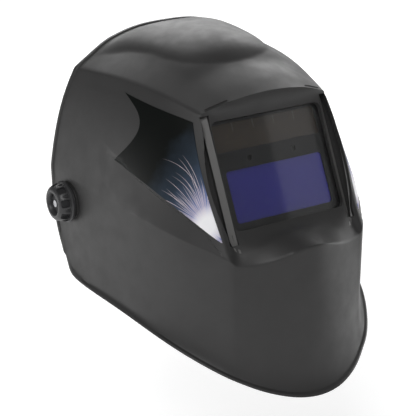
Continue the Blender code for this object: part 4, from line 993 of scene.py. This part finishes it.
def spark_layer(tree, angle, reach, layer):
    """Thin streaks that leave the glow and fall away, as a mask."""
    do = partial(maths, tree)
    count, bend, longest, width, left_out, seed = layer
    turned = do("MULTIPLY_ADD", do("MULTIPLY", reach, reach), bend, angle)
    scaled = do("MULTIPLY", turned, count)
    random = tree.nodes.new("ShaderNodeTexWhiteNoise")
    random.noise_dimensions = "1D"
    tree.links.new(do("ADD", do("FLOOR", scaled), seed), random.inputs["W"])
    split = tree.nodes.new("ShaderNodeSeparateColor")
    tree.links.new(random.outputs["Color"], split.inputs["Color"])
    one, two, three = split.outputs
    middle = do("MULTIPLY_ADD", one, 0.4, 0.3)
    off = do("ABSOLUTE", do("SUBTRACT", do("FRACT", scaled), middle))
    off = do("MULTIPLY", do("DIVIDE", off, count), reach)
    line = do("SUBTRACT", 1.0, do("DIVIDE", off, width))
    line = do("MAXIMUM", line, 0.0)
    end = do("MULTIPLY", do("MULTIPLY_ADD", two, 0.6, 0.4), longest)
    left = do("DIVIDE", do("SUBTRACT", end, reach), longest * 0.18)
    left = do("MINIMUM", do("MAXIMUM", left, 0.0), 1.0)
    kept = do("GREATER_THAN", three, left_out)
    return do("MULTIPLY", do("MULTIPLY", line, left), kept)


def overlaid(tree, base, share, colour):
    """The base colour, with another over it where share is one."""
    node = tree.nodes.new("ShaderNodeMix")
    node.data_type = "RGBA"
    tree.links.new(share, node.inputs["Factor"])
    tree.links.new(base, node.inputs["A"])
    node.inputs["B"].default_value = (*colour, 1)
    return node.outputs["Result"]


def decal_material():
    """Printed film: near black to slate blue, with a welding glow and sparks in its lower front corner."""
    made, tree, shader = shader_of("decal_film", (0.01, 0.012, 0.014), 0.35, Specular_IOR_Level=0.12)
    do = partial(maths, tree)
    place = tree.nodes.new("ShaderNodeSeparateXYZ")
    tree.links.new(coords(tree), place.inputs["Vector"])
    corner = decal_corners()[2]
    back = do("SUBTRACT", place.outputs["Y"], corner[0] + GLOW_IN[0])
    rise = do("SUBTRACT", place.outputs["Z"], corner[1] + GLOW_IN[1])
    angle = do("ARCTAN2", rise, back)

    def reach_of(wide, tall):
        across = do("POWER", do("MULTIPLY", back, wide), 2.0)
        along = do("POWER", do("MULTIPLY", rise, tall), 2.0)
        return do("SQRT", do("ADD", across, along))

    reach = reach_of(1.0, 1.0)
    cloud = noise_node(tree, 45.0, 3.0, 0.6)
    spread = do("MULTIPLY", reach_of(1.45, 0.93), do("MULTIPLY_ADD", cloud, 0.5, 0.75))
    base = ramp(tree, do("MULTIPLY", spread, 10.0), [
        (0.0, (0.90, 0.92, 1.0)), (0.09, (0.62, 0.66, 0.90)), (0.18, (0.22, 0.26, 0.48)),
        (0.32, (0.066, 0.092, 0.150)), (0.52, (0.026, 0.038, 0.055)), (0.86, (0.0045, 0.0055, 0.005)),
    ])
    first, *others = [spark_layer(tree, angle, reach, layer) for layer in SPARK_LAYERS]
    sparks = reduce(partial(do, "MAXIMUM"), others, first)
    printed = overlaid(tree, base, sparks, (0.72, 0.62, 0.66))
    near = do("SUBTRACT", 1.0, do("DIVIDE", reach_of(1.25, 0.9), 0.015))
    near = do("SMOOTH_MAX", near, 0.0, 0.1)
    core = do("MINIMUM", do("MULTIPLY", near, 1.6), 1.0)
    tree.links.new(overlaid(tree, printed, core, (0.98, 0.98, 1.0)), shader.inputs["Base Color"])
    return made


def fine_decal_outline():
    """The decal's outline with a smooth scoop at its rear."""
    rear_tip, front_top, front_low, low_middle, rear_low = decal_corners()
    rear_tip = (rear_tip[0], rear_tip[1] - DECAL_DROP)
    front_top = (front_top[0], front_top[1] - DECAL_DROP)
    line = []
    for start, end in ((rear_tip, front_top), (front_top, front_low)):
        line += [(mix(start[0], end[0], step / 12), mix(start[1], end[1], step / 12)) for step in range(12)]
    for step in range(16):
        share = step / 16
        one, two, three = (1 - share) ** 2, 2 * share * (1 - share), share ** 2
        bend = [2 * low_middle[axis] - (front_low[axis] + rear_low[axis]) / 2 for axis in (0, 1)]
        line.append(tuple(
            one * front_low[axis] + two * bend[axis] + three * rear_low[axis] for axis in (0, 1)
        ))
    for step in range(24):
        share = step / 24
        bow = DECAL_SCOOP * math.sin(math.pi * share)
        line.append((
            mix(rear_low[0], rear_tip[0], share) - bow, mix(rear_low[1], rear_tip[1], share) + 0.25 * bow,
        ))
    return line


def visual_decals():
    film = decal_material()
    skin = cut_skin(fine_skin("decal_skin"))
    for vertex, lift in zip(skin.data.vertices, lifts_of(skin)):
        vertex.co += lift
    raised = bmesh.new()
    raised.from_mesh(skin.data)
    raised.normal_update()
    for vertex in raised.verts:
        vertex.co += vertex.normal * FILM_GAP
    raised.to_mesh(skin.data)
    raised.free()
    modify(skin, "SOLIDIFY", thickness=DECAL_THICKNESS, offset=1)
    settle(skin)
    for name, side in SIDES.items():
        turn = Matrix.Rotation(math.pi / 2, 4, "Y") @ Matrix.Rotation(math.pi / 2, 4, "Z")
        other = plate("film_" + name, fine_decal_outline(), *sorted(side * x for x in FILM_REACH), turn)
        place_mesh(other)
        modify(other, "BOOLEAN", object=skin, operation="INTERSECT", solver="MANIFOLD")
        settle(other)
        wear(other, film)
        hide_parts("decal_" + name)
        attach(other, "shell")
        smooth(other)
    bpy.data.objects.remove(skin)


# Knobs

KNOB_SECTION = (  # (radius, height) round the tension knob's turned body
    (0.0053, 0.0), (0.0176, 0.0), (0.0180, 0.0004), (0.0180, 0.0020), (0.0176, 0.0025),
    (0.0171, 0.0029), (0.0167, 0.0060), (0.0159, 0.0090), (0.0147, 0.0113), (0.0131, 0.0127),
    (0.0117, 0.0132), (0.0103, 0.0130), (0.0093, 0.0120), (0.0088, 0.0105), (0.0086, 0.0088),
    (0.0033, 0.0088), (0.0033, 0.0063), (0.0053, 0.0063),
)
KNOB_POCKETS = KNOB_LOBES + 1
POCKET_SIZE = (0.0074, 0.0066, 0.0016)  # along the knob, round it, and the corner's radius
POCKET_REACH = 0.0142     # the pocket's floor from the knob's axis
POCKET_UP = 0.0078
FLUTE_RADIUS = 0.0021
FLUTE_REACH = 0.0179
FLUTE_UP = 0.0042
KNOB_ROUNDING = 0.00045


def turned(name, section, place, steps=84):
    """A closed section spun about its own Z."""
    made = bmesh.new()
    rings = []
    for step in range(steps):
        angle = 2 * math.pi * step / steps
        rings.append([made.verts.new((r * math.cos(angle), r * math.sin(angle), z)) for r, z in section])
    for step in range(steps):
        low, high = rings[step], rings[(step + 1) % steps]
        for here in range(len(section)):
            after = (here + 1) % len(section)
            made.faces.new((low[here], high[here], high[after], low[after]))
    bmesh.ops.recalc_face_normals(made, faces=made.faces)
    return object_from(made, name, place)


def visual_knob(name, side):
    """Tapered grip with a row of finger pockets round it."""
    node = "tension_knob_" + name
    place = pivot_place(side)
    low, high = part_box(node)
    base = min(abs(low[0]), abs(high[0]))
    seat = place @ Matrix.Translation((0, 0, base))
    knob = turned("grip_" + name, KNOB_SECTION, seat)
    stand = Matrix.Translation((0, 0, POCKET_UP)) @ Matrix.Rotation(math.pi / 2, 4, "Y")
    pocket = rounded_outline(*POCKET_SIZE)
    flute = [(x + FLUTE_REACH, y) for x, y in arc(0, 0, FLUTE_RADIUS, 0, 2 * math.pi * 15 / 16, 15)]
    for lobe in range(KNOB_POCKETS):
        turn = Matrix.Rotation(2 * math.pi * (lobe + 0.35) / KNOB_POCKETS, 4, "Z")
        combine(knob, plate("pocket", pocket, POCKET_REACH, THROUGH, seat @ turn @ stand), "DIFFERENCE")
        between = Matrix.Rotation(2 * math.pi * (lobe + 0.85) / KNOB_POCKETS, 4, "Z")
        combine(knob, plate("flute", flute, FLUTE_UP, THROUGH, seat @ between), "DIFFERENCE")
    place_mesh(knob)
    wear(knob, MATERIALS["knob_plastic"])
    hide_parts(node)
    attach(knob, "knob_" + name)
    return smooth(knob, KNOB_ROUNDING)


# Pads

PAD_VOXEL = 0.0024
CLOTH_FRAMES = 20
CLOTH = {
    "use_pressure": True, "uniform_pressure_force": 4, "quality": 6,
    "tension_stiffness": 8, "compression_stiffness": 8,
}


def band_angle(point):
    """A point's angle round the headband from the brow, and the point in the band's own plane."""
    inside = band_place().inverted() @ point
    return math.atan2(inside.x / HEAD_HALF_WIDTH, -inside.y / HEAD_HALF_LENGTH), inside


def off_band(point):
    """The direction out of the head at a point of the headband."""
    angle, _ = band_angle(point)
    out = Vector((math.sin(angle) * HEAD_HALF_LENGTH, -math.cos(angle) * HEAD_HALF_WIDTH, 0)).normalized()
    return band_place().to_3x3() @ out


def stuffed(node, name, slot, cap):
    """A pad swollen from its plain solid by a short cloth simulation, and held back from what it rests on."""
    pad = link(bpy.data.objects.new(name, NODES[node].data.copy()))
    pad.data.materials.clear()
    modify(pad, "REMESH", mode="VOXEL", voxel_size=PAD_VOXEL)
    settle(pad)
    rest = [vertex.co.copy() for vertex in pad.data.vertices]
    swollen = rest
    cloth_step = modify(pad, "CLOTH")
    for key, value in CLOTH.items():
        setattr(cloth_step.settings, key, value)
    cloth_step.settings.effector_weights.gravity = 0
    cloth_step.point_cache.frame_start = 1
    cloth_step.point_cache.frame_end = CLOTH_FRAMES
    for frame_number in range(1, CLOTH_FRAMES + 1):
        SCENE.frame_set(frame_number)
    found = pad.evaluated_get(bpy.context.evaluated_depsgraph_get())
    swollen = [vertex.co.copy() for vertex in found.to_mesh().vertices]
    found.to_mesh_clear()
    pad.modifiers.remove(cloth_step)
    SCENE.frame_set(1)
    made = bmesh.new()
    made.from_mesh(pad.data)
    made.verts.ensure_lookup_table()
    for vertex, start, end in zip(made.verts, rest, swollen):
        move = end - start
        if move.length > cap:
            move = move.normalized() * cap
        out = off_band(start)
        push = move.dot(out)
        if push > 0:
            move -= out * push
        vertex.co = start + move
    for _ in range(3):
        bmesh.ops.smooth_vert(
            made, verts=made.verts, factor=0.4, use_axis_x=True, use_axis_y=True, use_axis_z=True,
        )
    made.to_mesh(pad.data)
    made.free()
    modify(pad, "SUBSURF", levels=1, render_levels=1)
    settle(pad)
    pad.data.materials.append(MATERIALS[slot])
    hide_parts(node)
    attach(pad, "headgear")
    for face in pad.data.polygons:
        face.use_smooth = True
    return pad


CHANNELS = (-0.72, -0.36, 0.0, 0.36, 0.72)  # sewn across the sweatband, as angles round the headband
CHANNEL_WIDTH = 0.0034
CHANNEL_DEPTH = 0.0011
HEM_INSET = 0.0042
HEM_WIDTH = 0.0016
SIDE_TO_HEAD = 0.955      # points within this share of the band's oval, squared, face the head


def visual_pads():
    brow = stuffed("sweatband", "sweatband_pad", "terry_cloth", 0.0022)
    half = SWEATBAND_HEIGHT / 2
    for vertex in brow.data.vertices:
        angle, inside = band_angle(vertex.co)
        out = off_band(vertex.co)
        nearest = min(abs(angle - channel) for channel in CHANNELS)
        depth = 1 - ease(nearest * HEAD_HALF_LENGTH / CHANNEL_WIDTH)
        up = abs(inside.z)
        hem = (1 - ease((half - HEM_INSET - up) / HEM_WIDTH)) * (up < half - 0.0015)
        reach = (inside.x / HEAD_HALF_WIDTH) ** 2 + (inside.y / HEAD_HALF_LENGTH) ** 2
        if reach < SIDE_TO_HEAD:
            vertex.co += out * CHANNEL_DEPTH * max(depth, 0.7 * hem)
    stuffed("rear_pad", "nape_pad", "foam_pad", 0.0025)


# Camera, light and floor

# The view's axes: across the picture, up it and toward the camera
VIEW_AXES = ((0.84767, -0.53051, 0.0), (0.19942, 0.31864, 0.92666), (-0.49160, -0.78550, 0.37590))
VIEW_PLACE = (-0.6045, -1.0091, 0.4455)
VIEW_LENS = 121.154       # focal length in mm, for a sensor 36 mm wide


LIGHTS = (  # name, place (across the view, up it, toward the camera), width, height, watts
    ("top", (0.0, 1.6, -1.15), 2.0, 1.5, 34),
    ("left", (-1.8, -0.08, 0.25), 0.9, 0.3, 6),
    ("right_rim", (1.7, 0.3, -0.9), 0.5, 1.4, 14),
    ("front_fill", (-0.35, 0.85, 2.1), 0.9, 0.9, 20),
)
MIDDLE = Vector((0, -0.06, 0.02))  # what the lights point at
STRIP_SEEN = 0.022        # where the lens mirrors the strip light, from its middle
STRIP_AWAY = 1.4
FLOOR_Z = -0.30
FLOOR_GLOW = 0.28         # keeps the paper near white in the helmet's shade
SKY = 0.15


def camera():
    data = bpy.data.cameras.new("camera")
    data.lens = VIEW_LENS
    data.sensor_width = 36
    data.clip_start, data.clip_end = 0.05, 30
    obj = link(bpy.data.objects.new("camera", data))
    obj.matrix_world = Matrix.Translation(VIEW_PLACE) @ Matrix(VIEW_AXES).transposed().to_4x4()
    SCENE.camera = obj


def softbox(name, place, target, width, height, power):
    data = bpy.data.lights.new(name, "AREA")
    data.shape = "RECTANGLE"
    data.size, data.size_y = width, height
    data.energy = power
    obj = link(bpy.data.objects.new(name, data))
    obj.location = place
    obj.rotation_mode = "QUATERNION"
    obj.rotation_quaternion = (Vector(target) - Vector(place)).to_track_quat("-Z", "Y")
    return obj


def studio():
    floor = bmesh.new()
    bmesh.ops.create_grid(floor, x_segments=1, y_segments=1, size=6)
    floor = object_from(floor, "floor")
    floor.location.z = FLOOR_Z
    made, tree, shader = shader_of("floor_paper", (0.96, 0.96, 0.96), 0.9)
    paint(tree, shader, "Base Color", noise_node(tree, 3.0), [(0.3, grey(0.95)), (0.7, grey(0.97))])
    shader.inputs["Emission Color"].default_value = (1, 1, 1, 1)
    shader.inputs["Emission Strength"].default_value = FLOOR_GLOW
    floor.data.materials.append(made)
    world = bpy.data.worlds.new("studio")
    SCENE.world = world
    world.use_nodes = True
    back = world.node_tree.nodes["Background"]
    back.inputs["Color"].default_value = (1, 1, 1, 1)
    back.inputs["Strength"].default_value = SKY
    right, up, near = (Vector(axis) for axis in VIEW_AXES)
    for name, (across, above, toward), width, height, power in LIGHTS:
        softbox(name, MIDDLE + right * across + up * above + near * toward, MIDDLE, width, height, power)
    # a tall strip that the cover lens mirrors, upright in the lens's own plane
    place = lens_place()
    tilt = place.to_3x3().col[1]
    face = place.to_3x3().col[2]
    seen = place @ Vector((STRIP_SEEN, 0, 0))
    ray = (seen - Vector(VIEW_PLACE)).normalized()
    ray -= 2 * ray.dot(face) * face
    strip = softbox("lens_strip", seen + ray * STRIP_AWAY, seen, 0.080, 0.9, 0.045)
    high = (tilt - ray * tilt.dot(ray)).normalized()
    strip.rotation_quaternion = Matrix((high.cross(ray), high, ray)).transposed().to_quaternion()
    SCENE.view_settings.view_transform = "Standard"


for name, obj in NODES.items():
    kind = next(s["material_slot"] for s in frame["record"]["subparts"] if s["node"] == name)
    if kind in MATERIALS:
        wear(obj, MATERIALS[kind])
    smooth(obj)

visual_shell()
visual_decals()
for name, side in SIDES.items():
    visual_knob(name, side)
visual_pads()
camera()
studio()
